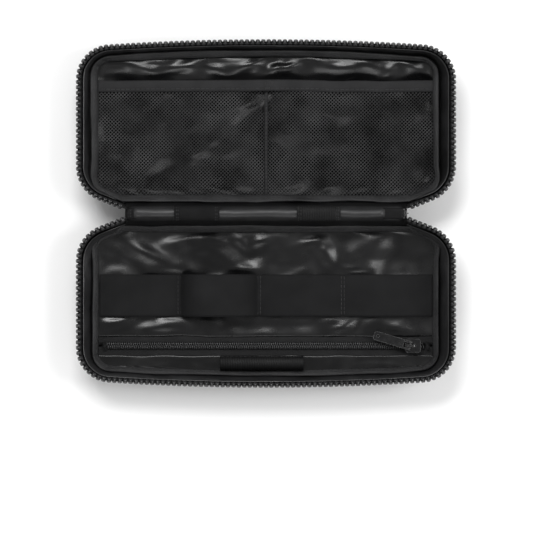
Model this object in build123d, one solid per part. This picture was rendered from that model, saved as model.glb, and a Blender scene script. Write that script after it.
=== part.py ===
from build123d import *
import math
import os

# Cable organizer pouch, lying fully open: the base half toward -Y, the lid half toward +Y,
# both standing on Z = 0 with their openings up. The fold between them runs along X at Y = 0, Z = rim_z.
# All dimensions in millimetres.

# ---- driving dimensions -------------------------------------------------------------------------
half_width = 114.0        # centre to the outside of the zip, sideways
half_length = 104.0       # fold line to the outside of the zip, at mid width
rim_z = 24.0              # height of the zip's meeting plane, and of the fold line
far_corner_r = 21.0       # plan radius of the corners away from the fold
near_corner_r = 22.0      # plan radius of the corners by the fold
near_corner_u = 28.2      # distance of the near corner centre from the fold
taper_x0 = 81.0           # where the tapering edge by the fold reaches the fold line
taper_dir = (0.9268, 0.3756)
crown = 3.0               # how much the far edge is bowed over its width
far_share = 0.70          # the far wall leans this much as far as the side walls

fabric_t = 1.2            # padded outer fabric
lining_t = 0.6            # coated lining
pad_z = (1.3, 4.2)        # foam sheet between the outer fabric and the lining
floor_z = 4.9             # top of the floor lining
wall_top_z = 13.0         # where fabric walls stop and the zip tape starts
tape_top_z = 20.6         # top of the zip tape, under the teeth

tooth_pitch = 3.25
tooth_foot = (2.3, 3.0)   # along, across
tooth_head = (1.3, 2.6)
tooth_inset = 1.6         # tooth centre line inside the rim outline
tooth_x_stop = 85.4       # the rows end this far from mid width, by the fold

panel_t = 0.6             # pocket panels, base and lid
panel_z = 6.9             # underside of the base pocket panels
panel_top = panel_z + panel_t
mesh_z = 9.5              # underside of the lid mesh
mesh_top = mesh_z + panel_t
binding_rise = 2.3        # the binding over the panel edges

hinge_clear_r = 5.6       # everything on the two halves stays this far from the fold between the ends

band_u = (36.6, 62.0)     # wide elastic band, distance from the fold
band_x = (-100.2, 100.2)
band_t = 1.2
band_seams = (-52.2, -4.2, 46.2)

zip_u = 79.5              # pocket zip centre line
zip_x = (-99.5, 99.5)
coil_gap = 1.0
coil_w = 1.6
slider_x = 88.5

os.makedirs("parts", exist_ok=True)


def save(node, shape):
    shape.label = node
    export_step(shape, f"parts/{node}.step")


# ---- the outline of a half ----------------------------------------------------------------------
def outline(d, yb, z, s, far=None):
    """Closed wire at height z, d inside the rim outline, its fold-side edge at distance yb."""
    f = far_share * d if far is None else far
    tx, tu = taper_dir
    nx, nu = tu, -tx                       # outward across the taper
    cx, cu = half_width - near_corner_r, near_corner_u
    rn = near_corner_r - d
    p2 = (cx + rn * nx, cu + rn * nu)
    t = (yb - p2[1]) / tu
    p1 = (p2[0] + t * tx, yb)
    am = (math.atan2(nu, nx)) / 2
    p23 = (cx + rn * math.cos(am), cu + rn * math.sin(am))
    p3 = (cx + rn, cu)
    fx, fu = half_width - far_corner_r, half_length - crown - far_corner_r + (d - f)
    rf = far_corner_r - d
    slope = 0.0645
    p4 = (fx + rf, fu)
    b = math.pi / 2 - slope
    p45 = (fx + rf * math.cos(b / 2), fu + rf * math.sin(b / 2))
    p5 = (fx + rf * math.cos(b), fu + rf * math.sin(b))
    top = (0.0, half_length - f)

    def P(p, m=1):
        return (m * p[0], s * p[1], z)

    edges = [
        Edge.make_line(P(p1, -1), P(p1)),
        Edge.make_line(P(p1), P(p2)),
        Edge.make_three_point_arc(P(p2), P(p23), P(p3)),
        Edge.make_line(P(p3), P(p4)),
        Edge.make_three_point_arc(P(p4), P(p45), P(p5)),
        Edge.make_three_point_arc(P(p5), P(top), P(p5, -1)),
        Edge.make_three_point_arc(P(p5, -1), P(p45, -1), P(p4, -1)),
        Edge.make_line(P(p4, -1), P(p3, -1)),
        Edge.make_three_point_arc(P(p3, -1), P(p23, -1), P(p2, -1)),
        Edge.make_line(P(p2, -1), P(p1, -1)),
    ]
    return Wire(edges)


def body(sections, s):
    """Ruled solid through (d, yb, z) sections."""
    return Solid.make_loft([outline(d, yb, z, s) for d, yb, z in sections], True)


def slab(d, yb, z0, z1, s, far=None):
    face = Face(outline(d, yb, z0, s, far))
    return extrude(face, amount=z1 - z0, dir=(0, 0, 1))


def bar(x0, x1, u0, u1, z0, z1, s):
    """Box from x0..x1, distance u0..u1 from the fold, z0..z1, on the half with sign s."""
    y0, y1 = sorted((s * u0, s * u1))
    return Pos((x0 + x1) / 2, (y0 + y1) / 2, (z0 + z1) / 2) * Box(x1 - x0, y1 - y0, z1 - z0)


def profile_x(points, x0, x1, s):
    """Prism along X from (u, z) corner points."""
    pts = [(x0, s * u, z) for u, z in points]
    face = Face(Wire.make_polygon(pts, close=True))
    return extrude(face, amount=x1 - x0, dir=(1, 0, 0))


def one(shape):
    return shape.solids()[0] if len(shape.solids()) == 1 else Compound(children=list(shape.solids()))


# ---- the two halves: padded shell, foam, lining, binding, zip tape, fold flap -------------------
def rim_line(d):
    """Points and headings along one side of the zip, from mid width of the far edge to the fold."""
    pts = []
    f = d
    rc = (94.0 ** 2 + crown ** 2) / (2 * crown)
    fx, fu = half_width - far_corner_r, half_length - crown - far_corner_r
    rf = far_corner_r - d
    b = math.pi / 2 - 0.0645
    x5, u5 = fx + rf * math.cos(b), fu + rf * math.sin(b)
    top_u = half_length - f
    sag = top_u - u5
    rc = (x5 ** 2 + sag ** 2) / (2 * sag)
    n = 120
    a_max = math.asin(x5 / rc)
    for i in range(n):
        a = a_max * i / n
        pts.append((rc * math.sin(a), top_u - rc + rc * math.cos(a)))
    for i in range(60):
        a = b * (1 - i / 60)
        pts.append((fx + rf * math.cos(a), fu + rf * math.sin(a)))
    cx, cu = half_width - near_corner_r, near_corner_u
    rn = near_corner_r - d
    for i in range(60):
        q = i / 60
        pts.append((fx + rf, fu + (cu - fu) * q))
    a_end = math.atan2(-taper_dir[0], taper_dir[1])
    for i in range(60):
        a = a_end * i / 60
        pts.append((cx + rn * math.cos(a), cu + rn * math.sin(a)))
    p2 = (cx + rn * taper_dir[1], cu - rn * taper_dir[0])
    for i in range(61):
        q = 30.0 * i / 60
        pts.append((p2[0] - q * taper_dir[0], p2[1] - q * taper_dir[1]))
    return pts


def along(pts, dist):
    run = 0.0
    for (x0, u0), (x1, u1) in zip(pts, pts[1:]):
        step = math.hypot(x1 - x0, u1 - u0)
        if run + step >= dist:
            q = (dist - run) / step
            return x0 + q * (x1 - x0), u0 + q * (u1 - u0), math.atan2(u1 - u0, x1 - x0)
        run += step
    return None


foot_z = (tape_top_z, rim_z - 1.25)
head_z = (rim_z - 1.25, rim_z + 1.1)
tooth = (
    Pos(0, 0, sum(foot_z) / 2) * Box(tooth_foot[0], tooth_foot[1], foot_z[1] - foot_z[0])
    + Pos(0, 0, sum(head_z) / 2) * Box(tooth_head[0], tooth_head[1], head_z[1] - head_z[0])
)
tooth = tooth.solids()[0]
rim_pts = rim_line(tooth_inset)


def teeth(s, shift):
    rows = []
    k = 0
    while True:
        dist = (k + shift) * tooth_pitch
        hit = along(rim_pts, dist)
        if hit is None:
            break
        x, u, h = hit
        if u < 40 and x < tooth_x_stop:
            break
        rows.append((x, u, h))
        k += 1
    out = []
    for x, u, h in rows:
        deg = math.degrees(h)
        out.append(Pos(x, s * u, 0) * Rot(0, 0, s * deg) * tooth)
        if x > 1e-6:
            out.append(Pos(-x, s * u, 0) * Rot(0, 0, -s * deg) * tooth)
    return Compound(children=[o.solids()[0] for o in out])


def make_half(name, s, tooth_shift, edge_z):
    shell = body([(12.5, 9.5, 0), (10.0, 8.0, 2.5), (3.2, 3.6, wall_top_z)], s)
    shell -= body([(12.7, 10.3, fabric_t), (11.3, 9.3, 2.5), (4.4, 4.8, wall_top_z), (4.2, 4.7, wall_top_z + 0.3)], s)
    save(f"{name}_outer_shell", one(shell))

    save(f"{name}_foam_pad", one(slab(13.4, 10.9, pad_z[0], pad_z[1], s)))

    lining = body([(10.4, 9.0, 4.3), (4.55, 4.95, wall_top_z)], s)
    lining -= body([(10.9, 9.5, floor_z), (5.15, 5.55, wall_top_z), (5.0, 5.4, wall_top_z + 0.3)], s)
    save(f"{name}_lining", one(lining))

    # binding sewn over the raw edges where floor and wall meet
    ring = slab(11.0, 9.6, floor_z, edge_z, s) - slab(11.5, 10.1, floor_z - 1, edge_z + 1, s)
    up = edge_z + binding_rise
    top = slab(11.0, 9.6, edge_z, up, s) - slab(13.4, 12.0, edge_z - 1, up + 1, s)
    save(f"{name}_seam_binding", one(ring + top))

    # zip tape stands on the wall all round except along the fold
    tape = body([(3.3, 3.7, wall_top_z), (1.0, 2.0, tape_top_z)], s)
    tape -= body([(4.95, 5.3, wall_top_z - 0.3), (4.8, 5.2, wall_top_z), (2.3, 3.3, tape_top_z), (2.2, 3.2, tape_top_z + 0.3)], s)
    tape -= bar(-83.8, 83.8, -2.0, 30.0, wall_top_z - 2, tape_top_z + 2, s)
    save(f"{name}_zip_tape", one(tape))

    save(f"{name}_zip_teeth", teeth(s, tooth_shift))

    # double fabric flap that carries on from the fold-side wall up to the fold
    flap = profile_x([(3.6, wall_top_z), (5.3, wall_top_z), (2.9, 18.3), (1.3, 18.3)], -82.0, 82.0, s)
    save(f"{name}_fold_flap", one(flap))


make_half("base", -1, 0.0, panel_top)
make_half("lid", 1, 0.5, mesh_top)

# ---- base: pocket panels, pocket zip ------------------------------------------------------------
S = -1
zu = zip_u
tape_in = zu - coil_gap / 2 - coil_w            # edge of the upper tape under its coil
tape_out = zu + coil_gap / 2 + coil_w
upper_edge = 73.9
lower_edge = 85.4
inner = slab(11.6, 10.2, panel_z, panel_top, S)
upper = inner & bar(-130, 130, 0, upper_edge, panel_z - 1, panel_top + 1, S)
lower = inner & bar(-130, 130, lower_edge, 130, panel_z - 1, panel_top + 1, S)
save("pocket_panel_upper", one(upper))
save("pocket_panel_lower", one(lower))

save("pocket_zip_tape_upper", one(bar(zip_x[0], zip_x[1], upper_edge + 0.05, zu - coil_gap / 2, panel_z, panel_top, S)))
save("pocket_zip_tape_lower", one(bar(zip_x[0], zip_x[1], zu + coil_gap / 2, lower_edge - 0.05, panel_z, panel_top, S)))
coil_z = (panel_top, panel_top + 1.7)
coil_x = (-96.0, 96.0)
save("pocket_zip_coil_upper", one(bar(coil_x[0], coil_x[1], tape_in, zu - coil_gap / 2, coil_z[0], coil_z[1], S)))
save("pocket_zip_coil_lower", one(bar(coil_x[0], coil_x[1], zu + coil_gap / 2, tape_out, coil_z[0], coil_z[1], S)))

stops = []
for x0, x1 in ((coil_x[0] - 2.4, coil_x[0] - 0.1), (coil_x[1] + 0.1, coil_x[1] + 2.4)):
    stops.append(bar(x0, x1, zu - 2.6, zu + 2.6, panel_top, panel_top + 1.9, S).solids()[0])
save("pocket_zip_stops", Compound(children=stops))

# slider: plates above and below the coils, joined by a post in the gap, with a bail for the puller
sx = slider_x
sy = S * zu
top_plate = Pos(sx, sy, 10.1) * Box(9.4, 8.2, 1.2)
top_plate = fillet(top_plate.edges().filter_by(Axis.Z), 1.6)
low_plate = Pos(sx, sy, 6.15) * Box(9.0, 7.4, 1.1)
low_plate = fillet(low_plate.edges().filter_by(Axis.Z), 1.4)
post = Pos(sx + 2.0, sy, 8.1) * Box(3.2, coil_gap - 0.2, 3.9)
lips = Pos(sx, sy - 3.6, 9.1) * Box(6.6, 0.9, 1.4) + Pos(sx, sy + 3.6, 9.1) * Box(6.6, 0.9, 1.4)
bail_c = (sx - 1.2, sy, 12.3)
bail_face = Pos(bail_c[0], bail_c[1], 0) * Pos(0, 0, 10.7 + 1.9) * Box(5.6, 1.2, 3.8)
bail_face = fillet(bail_face.edges().filter_by(Axis.Y).group_by(Axis.Z)[-1], 1.4)
bail_hole = Pos(bail_c[0], bail_c[1], 10.7 + 1.35) * Box(3.6, 3.0, 2.7)
slider = top_plate + low_plate + post + lips + (bail_face - bail_hole)
save("pocket_slider", one(slider))

# puller: round cross bar through the bail, two arms, a flat tab with a small hole by the tip
pull_turn = 16.8
pin_z = 11.95
pin = (bail_c[0] - 0.6, bail_c[1], pin_z)
axis_rot = Rot(0, 0, -pull_turn)
cross = Rot(90, 0, 0) * Cylinder(0.7, 5.4)
arm = Pos(-2.1, 2.2, 0) * Box(4.6, 1.0, 1.2) + Pos(-2.1, -2.2, 0) * Box(4.6, 1.0, 1.2)
eye = Pos(0, 2.2, 0) * Rot(90, 0, 0) * Cylinder(0.95, 1.0) + Pos(0, -2.2, 0) * Rot(90, 0, 0) * Cylinder(0.95, 1.0)
tab = Pos(-4.2 - 9.2, 0, 0) * Box(18.6, 5.4, 1.2)
tab = fillet(tab.edges().filter_by(Axis.Z), 1.2)
tab -= Pos(-20.2, 0, 0) * Cylinder(0.8, 4)
puller = Pos(*pin) * axis_rot * (cross + arm + eye + tab)
save("pocket_puller", one(puller))

# ---- base: wide elastic band and pen loop -------------------------------------------------------
bz = panel_top + 0.05
seam_half = 1.6
stations = [band_x[0]] + list(band_seams) + [band_x[1]]
heights = [1.6, 11.0, 1.8, 1.6]
seams = [(band_x[0], band_x[0] + 2 * seam_half)] + [(c - seam_half, c + seam_half) for c in band_seams] + [(band_x[1] - 2 * seam_half, band_x[1])]
band = None
y0 = S * band_u[1]
for i, h in enumerate(heights):
    xa, xb = seams[i][1], seams[i + 1][0]
    xm = (xa + xb) / 2
    if h < 4:
        lo = [(xa, bz), (xm, bz + h), (xb, bz)]
        hi = [(xa, bz + band_t), (xm, bz + h + band_t), (xb, bz + band_t)]
        e = [
            Edge.make_three_point_arc(*[(x, y0, z) for x, z in lo]),
            Edge.make_line((xb, y0, bz), (xb, y0, bz + band_t)),
            Edge.make_three_point_arc(*[(x, y0, z) for x, z in reversed(hi)]),
            Edge.make_line((xa, y0, bz + band_t), (xa, y0, bz)),
        ]
    else:
        rise = 7.0
        lo = [(xa, bz), (xa + rise, bz + h * 0.8), (xm, bz + h), (xb - rise, bz + h * 0.8), (xb, bz)]
        hi = [(xa - 0.0, bz + band_t), (xa + rise - 0.7, bz + h * 0.8 + band_t), (xm, bz + h + band_t), (xb - rise + 0.7, bz + h * 0.8 + band_t), (xb, bz + band_t)]
        e = []
        for a, b in zip(lo, lo[1:]):
            e.append(Edge.make_line((a[0], y0, a[1]), (b[0], y0, b[1])))
        e.append(Edge.make_line((xb, y0, bz), (xb, y0, bz + band_t)))
        r = list(reversed(hi))
        for a, b in zip(r, r[1:]):
            e.append(Edge.make_line((a[0], y0, a[1]), (b[0], y0, b[1])))
        e.append(Edge.make_line((xa, y0, bz + band_t), (xa, y0, bz)))
    piece = extrude(Face(Wire(e)), amount=band_u[1] - band_u[0], dir=(0, 1, 0))
    band = piece if band is None else band + piece
for xa, xb in seams:
    band += bar(xa, xb, band_u[0], band_u[1], bz, bz + band_t, S)
save("cable_band", one(band))

rows = []
for c in band_seams:
    for dx in (-0.9, 0.9):
        rows.append(bar(c + dx - 0.2, c + dx + 0.2, band_u[0] + 0.8, band_u[1] - 0.8, bz + band_t, bz + band_t + 0.3, S).solids()[0])
save("cable_band_stitching", Compound(children=rows))

pen_x = (-27.6, 22.5)
pen_u = (85.9, 94.2)
pr = (pen_u[1] - pen_u[0]) / 2
pc = (pen_u[0] + pen_u[1]) / 2
leg = 10.4
pen_t = 0.9
z0 = panel_top + 0.05


def arch_face(r):
    a = [(pc - r, z0), (pc - r, leg), (pc, leg + r), (pc + r, leg), (pc + r, z0)]
    q = [(pen_x[0], S * u, z) for u, z in a]
    return Face(Wire([
        Edge.make_line(q[0], q[1]),
        Edge.make_three_point_arc(q[1], q[2], q[3]),
        Edge.make_line(q[3], q[4]),
        Edge.make_line(q[4], q[0]),
    ]))


pen_loop = extrude(arch_face(pr), amount=pen_x[1] - pen_x[0], dir=(1, 0, 0))
pen_cut = Pos(-1, 0, 0) * extrude(arch_face(pr - pen_t), amount=pen_x[1] - pen_x[0] + 2, dir=(1, 0, 0))
pen_loop = pen_loop - pen_cut
pen_loop += bar(pen_x[0], pen_x[1], pc - pr, pc + pr, z0, z0 + 0.5, S)
save("pen_loop", one(pen_loop))

# ---- lid: two mesh pockets under one elastic edge -----------------------------------------------
L = 1
mesh_u = 73.5
edge_u = 80.1
mesh_gap = 0.6
inner = slab(11.6, 10.2, mesh_z, mesh_top, L)
left = inner & bar(-130, -mesh_gap, 0, mesh_u, mesh_z - 1, mesh_top + 1, L)
right = inner & bar(mesh_gap, 130, 0, mesh_u, mesh_z - 1, mesh_top + 1, L)
save("mesh_pocket_left", one(left))
save("mesh_pocket_right", one(right))
edge = bar(-101.8, 101.8, mesh_u + 0.05, edge_u, mesh_z - 0.6, mesh_top + 0.8, L)
edge -= bar(-130, -100.4, 0, 130, mesh_top - 0.1, mesh_top + 2, L)
edge -= bar(100.4, 130, 0, 130, mesh_top - 0.1, mesh_top + 2, L)
save("mesh_pocket_elastic", one(edge))
stitch = bar(-0.45, 0.45, 12.2, mesh_u - 0.1, floor_z, mesh_top + 0.3, L)
save("mesh_divider_stitching", one(stitch))

# ---- the fold: rolled seam, two loops, end tabs, main slider and its puller ---------------------
roll_x = (-77.4, 70.0)
roll_r = 2.4


def tube_x(x0, x1, r):
    return Pos((x0 + x1) / 2, 0, rim_z) * Rot(0, 90, 0) * Cylinder(r, x1 - x0)


save("fold_roll", one(tube_x(roll_x[0], roll_x[1], roll_r)))


def saddle(x0, x1, r_out, r_in, sewn):
    whole = tube_x(x0, x1, r_out) - tube_x(x0 - 1, x1 + 1, roll_r)
    whole -= tube_x(x0 + sewn, x1 - sewn, r_in)
    whole -= Pos(0, 0, rim_z - 10) * Box(400, 40, 20)
    return whole


save("fold_loop_plain", one(saddle(-55.0, -28.0, 5.1, 4.2, 3.0)))
save("fold_loop_ribbed", one(saddle(18.6, 44.4, 5.1, 4.0, 3.0)))
save("fold_end_tab_left", one(fillet((Pos(-79.7, 0, rim_z) * Box(4.4, 6.6, 2.2)).edges().filter_by(Axis.X), 0.9)))
save("fold_end_tab_right", one(fillet((Pos(76.3, 0, 24.95) * Box(12.2, 6.6, 1.0)).edges().filter_by(Axis.X), 0.4)))

# the main slider waits at the end of the zip, under the end tab; its puller hangs outside
lug_c = (84.0, 0, 22.4)
ms = Pos(79.4, 0, 22.1) * Box(7.2, 6.4, 4.4)
ms = fillet(ms.edges().filter_by(Axis.X), 1.2)
ms -= Pos(79.4, 0, 22.3) * Box(9.0, 4.0, 1.6)
lug = Pos(*lug_c) * Rot(90, 0, 0) * (Cylinder(1.5, 1.0) - Cylinder(0.75, 3))
neck = Pos(83.0, 0, 23.35) * Box(1.6, 1.0, 0.9)
neck -= Pos(*lug_c) * Rot(90, 0, 0) * Cylinder(1.2, 3)
save("main_slider", one(ms + lug + neck))

pull_pin = Rot(90, 0, 0) * Cylinder(0.65, 2.9)
pull_arm = Pos(0, 1.05, -1.6) * Box(1.3, 0.8, 4.4) + Pos(0, -1.05, -1.6) * Box(1.3, 0.8, 4.4)
pull_tab = Pos(0, 0, -3.6 - 7.0) * Box(1.3, 2.9, 14.2)
pull_tab = fillet(pull_tab.edges().filter_by(Axis.X), 0.8)
save("main_puller", one(Pos(*lug_c) * (pull_pin + pull_arm + pull_tab)))
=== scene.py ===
"""A soft zip pouch lying open on a pale floor, seen from straight above.

The fold runs along X at y = 0. The base half lies towards -Y, the lid half towards +Y, and
their insides face up (+Z). Lengths are in millimetres unless a comment says metres. Each half
is laid out in (x, u, z), where u is the distance from the fold, and then placed on its side.
"""
import bmesh
import bpy
import math
import numpy as np
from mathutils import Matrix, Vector


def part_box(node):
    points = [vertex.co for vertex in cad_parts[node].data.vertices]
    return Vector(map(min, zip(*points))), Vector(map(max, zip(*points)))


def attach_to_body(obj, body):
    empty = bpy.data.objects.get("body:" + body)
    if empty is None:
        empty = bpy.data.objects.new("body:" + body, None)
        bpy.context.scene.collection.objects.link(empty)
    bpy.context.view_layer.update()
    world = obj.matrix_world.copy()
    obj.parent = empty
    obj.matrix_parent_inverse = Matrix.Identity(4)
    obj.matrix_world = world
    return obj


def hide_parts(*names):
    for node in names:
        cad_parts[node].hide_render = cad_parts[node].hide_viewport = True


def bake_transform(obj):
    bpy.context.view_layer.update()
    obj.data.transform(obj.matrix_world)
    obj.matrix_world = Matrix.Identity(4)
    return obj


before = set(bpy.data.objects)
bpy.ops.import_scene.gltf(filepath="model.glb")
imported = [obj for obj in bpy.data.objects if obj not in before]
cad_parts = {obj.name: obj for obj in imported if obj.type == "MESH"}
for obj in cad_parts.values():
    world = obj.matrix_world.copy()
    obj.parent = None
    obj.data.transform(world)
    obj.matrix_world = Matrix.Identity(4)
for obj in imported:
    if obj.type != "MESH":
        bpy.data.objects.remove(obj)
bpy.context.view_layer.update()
MM = 0.001
BASE, LID = -1, 1          # the Y side of each half


def box_mm(node):
    """Low and high corners of a CAD node."""
    low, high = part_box(node)
    return np.array(low) / MM, np.array(high) / MM


# ---------------------------------------------------------------------------------------------
# noise and small maths
# ---------------------------------------------------------------------------------------------
def lattice_value(ix, iy, seed):
    """Repeatable random value, -1..1, for whole-number places."""
    n = ix.astype(np.int64) * 374761393 + iy.astype(np.int64) * 668265263
    n = (n + int(seed) * 974711 + 12345) & 0xFFFFFFFF
    n = ((n ^ (n >> 13)) * 1274126177) & 0xFFFFFFFF
    n = ((n ^ (n >> 16)) * 2246822519) & 0xFFFFFFFF
    n = n ^ (n >> 15)
    return n / 4294967295.0 * 2.0 - 1.0


def noise(x, y, seed):
    """Smooth value noise, -1..1."""
    x, y = np.broadcast_arrays(np.asarray(x, float), np.asarray(y, float))
    ix, iy = np.floor(x), np.floor(y)
    fx, fy = x - ix, y - iy
    fx = fx * fx * fx * (fx * (fx * 6 - 15) + 10)
    fy = fy * fy * fy * (fy * (fy * 6 - 15) + 10)
    low = lattice_value(ix, iy, seed) * (1 - fx) + lattice_value(ix + 1, iy, seed) * fx
    high = lattice_value(ix, iy + 1, seed) * (1 - fx) + lattice_value(ix + 1, iy + 1, seed) * fx
    return low * (1 - fy) + high * fy


def layered_noise(x, y, seed):
    """Two octaves of noise."""
    return (noise(x, y, seed) + 0.5 * noise(x * 2, y * 2, seed + 17)) / 1.5


# angle of the folds, share of the crease size, height
CREASE_LAYERS = ((0.35, 1.0, 1.0), (1.35, 0.8, 0.8), (2.2, 0.62, 0.6), (0.9, 0.45, 0.4))


def creases(x, y, seed, size):
    """Crinkled coated cloth: flat facets meeting in sharp folds. About -1..1."""
    warped_x = x + 0.35 * size * noise(x / size, y / size, seed + 5)
    warped_y = y + 0.35 * size * noise(x / size, y / size, seed + 9)
    total = 0
    for k, (angle, share, height) in enumerate(CREASE_LAYERS):
        c, s = math.cos(angle), math.sin(angle)
        across = (warped_x * c + warped_y * s) / (size * share)
        along = (-warped_x * s + warped_y * c) / (size * share * 2.2)
        ridge = 1 - 2 * np.abs(noise(across, along, seed + 31 * k))
        strength = 0.55 + 0.45 * noise(across * 0.5, along * 0.5, seed + 77 + k)
        total = total + height * ridge * strength
    return total / 2.4


def ease(start, end, x):
    """Smooth step from 0 at start to 1 at end."""
    t = np.clip((x - start) / (end - start), 0, 1)
    return t * t * (3 - 2 * t)


def bell(x, width):
    return np.exp(-(x / width) ** 2)


def blur(values, times):
    """Smooth an array in place along its first axis, keeping its ends."""
    for _ in range(times):
        values[1:-1] = 0.25 * values[:-2] + 0.5 * values[1:-1] + 0.25 * values[2:]


def stacked(*parts):
    """Join coordinates that broadcast together, on a new last axis."""
    return np.stack(np.broadcast_arrays(*parts), axis=-1)


def placed(points, side):
    """From (x, u, z) to the frame of the product."""
    return np.asarray(points, float) * (1, side, 1)


def closed(points):
    return np.vstack([points, points[:1]])


def run_length(points):
    """Distance travelled along a line of points."""
    steps = np.linalg.norm(np.diff(points, axis=0), axis=-1)
    return np.concatenate([[0], np.cumsum(steps)])


def point_at(distance, lengths, line):
    return np.array([np.interp(distance, lengths, column) for column in line.T])


def spans(length, pitch, start, end):
    """Start and end distances of evenly spaced stitches; start and end are shares of a pitch."""
    count = int(length / pitch)
    return [((k + start) / count * length, (k + end) / count * length) for k in range(count)]


# ---------------------------------------------------------------------------------------------
# materials: all procedural. UVs are in millimetres, object coordinates in metres.
# ---------------------------------------------------------------------------------------------
class Shader:
    """Short ways to add nodes to a tree. Inputs may be sockets or plain values."""
    def __init__(self, tree):
        self.tree = tree

    def node(self, kind, **settings):
        node = self.tree.nodes.new(kind)
        for key, value in settings.items():
            setattr(node, key, value)
        return node

    def feed(self, socket, value):
        if isinstance(value, bpy.types.NodeSocket):
            self.tree.links.new(value, socket)
        elif isinstance(value, tuple):
            socket.default_value = (*value, 1.0)
        else:
            socket.default_value = value

    def math(self, operation, first, second=None, clamp=False):
        node = self.node("ShaderNodeMath", operation=operation, use_clamp=clamp)
        self.feed(node.inputs[0], first)
        if second is not None:
            self.feed(node.inputs[1], second)
        return node.outputs[0]

    def noise(self, place, scale, detail, roughness=0.55):
        node = self.node("ShaderNodeTexNoise")
        self.feed(node.inputs["Scale"], scale)
        self.feed(node.inputs["Detail"], detail)
        self.feed(node.inputs["Roughness"], roughness)
        self.feed(node.inputs["Vector"], place)
        return node.outputs["Fac"]

    def ramp(self, value, span, result=(0.0, 1.0), interpolation="LINEAR"):
        """Map span to result, clamped."""
        node = self.node("ShaderNodeMapRange", interpolation_type=interpolation)
        for key, number in zip(("From Min", "From Max", "To Min", "To Max"), span + result):
            self.feed(node.inputs[key], number)
        self.feed(node.inputs["Value"], value)
        return node.outputs["Result"]

    def mix(self, factor, first, second):
        node = self.node("ShaderNodeMix", data_type="RGBA")
        self.feed(node.inputs["Factor"], factor)
        self.feed(node.inputs[6], first)
        self.feed(node.inputs[7], second)
        return node.outputs[2]

    def coordinates(self, kind):
        return self.node("ShaderNodeTexCoord").outputs[kind]

    def separate(self, vector):
        node = self.node("ShaderNodeSeparateXYZ")
        self.feed(node.inputs[0], vector)
        return node.outputs

    def bump(self, height, distance):
        node = self.node("ShaderNodeBump")
        self.feed(node.inputs["Distance"], distance)
        self.feed(node.inputs["Height"], height)
        return node.outputs[0]

    def wave(self, value, pitch=1.0):
        return self.math("SINE", self.math("MULTIPLY", value, math.pi / pitch))


def new_material(name):
    material = bpy.data.materials.new(name)
    material.use_nodes = True
    surface = material.node_tree.nodes["Principled BSDF"]
    return material, Shader(material.node_tree), surface.inputs, surface.outputs[0]


def weave_height(shader, weave, pitch):
    """Height 0..1 of a weave, from the UV map."""
    u, v, _ = shader.separate(shader.coordinates("UV"))
    if weave == "ribs_u":
        return shader.math("ABSOLUTE", shader.wave(u, pitch[0]))
    if weave == "ribs_v":
        return shader.math("ABSOLUTE", shader.wave(v, pitch[1]))
    if weave == "plain":
        both = shader.math("MULTIPLY", shader.wave(u, pitch[0]), shader.wave(v, pitch[1]))
        return shader.math("ADD", shader.math("MULTIPLY", both, 0.5), 0.5)
    lean = shader.math("DIVIDE", v, pitch[1])
    if weave == "herring":
        lean = shader.math("MULTIPLY", shader.math("PINGPONG", lean, 1.0), 1.6)
    phase = shader.math("ADD", shader.math("DIVIDE", u, pitch[0]), lean)
    return shader.math("ABSOLUTE", shader.wave(phase))


MATERIALS, SLOTS = {}, {}


def fabric(key, name, slot, dark, light, roughness, specular, depth, blotch_scale, blotch,
           weave=None, pitch=None, weave_tint=None, sheen=None, fine=0.0, crackle=None,
           roughness_spread=0.08, shade=None):
    """Cloth. dark and light are (red and green, blue); blotch, weave_tint: share of the light
    colour given by broad blotches and by the weave; fine, crackle: relief added to the weave;
    shade: painted shade, an object axis along which the cloth's colour and specular brighten
    over a span, from a least value."""
    material, shader, inputs, _ = new_material(name)
    place = shader.coordinates("Object")
    height = weave_height(shader, weave, pitch) if weave else None
    blotches = shader.noise(place, scale=blotch_scale, detail=2.0, roughness=0.6)
    tint = shader.math("MULTIPLY", shader.ramp(blotches, span=(0.32, 0.68)), blotch)
    if weave:
        tint = shader.math("ADD", tint, shader.math("MULTIPLY", height, weave_tint))
    fibre = shader.noise(place, scale=2600.0, detail=0.0, roughness=0.6)
    fibre = shader.math("MULTIPLY", shader.math("SUBTRACT", fibre, 0.5), 0.5)
    tint = shader.math("ADD", tint, fibre, clamp=True)
    colour = shader.mix(tint, (dark[0], *dark), (light[0], *light))
    gloss = shader.noise(place, scale=blotch_scale * 1.7, detail=1.0, roughness=0.6)
    gloss = shader.ramp(gloss, span=(0.3, 0.7), result=(roughness - roughness_spread,
                                                        roughness + roughness_spread))
    shader.feed(inputs["Specular IOR Level"], specular)
    # painted shade: colour and specular fade towards black below the span along the axis
    if shade:
        position = shader.separate(place)[shade["axis"]]
        lit = shader.ramp(position, span=shade["span"], result=(shade["least"], 1.0))
        colour = shader.mix(lit, (0.0, 0.0, 0.0), colour)
        shader.feed(inputs["Specular IOR Level"], shader.math("MULTIPLY", lit, specular))
    shader.feed(inputs["Base Color"], colour)
    shader.feed(inputs["Roughness"], gloss)
    if sheen:
        shader.feed(inputs["Sheen Weight"], sheen)
        shader.feed(inputs["Sheen Roughness"], 0.45)
        shader.feed(inputs["Sheen Tint"], (0.8, 0.8, 0.82))
    grain = shader.noise(place, scale=1500.0, detail=1.0, roughness=0.65)
    grain = shader.math("MULTIPLY", grain, fine)
    height = shader.math("ADD", height, grain) if weave else grain
    if crackle:
        cracks = shader.noise(place, scale=260.0, detail=2.0, roughness=0.55)
        height = shader.math("ADD", height, shader.math("MULTIPLY", cracks, crackle))
    shader.feed(inputs["Normal"], shader.bump(height, depth * MM))
    MATERIALS[key], SLOTS[key] = material, slot


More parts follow.
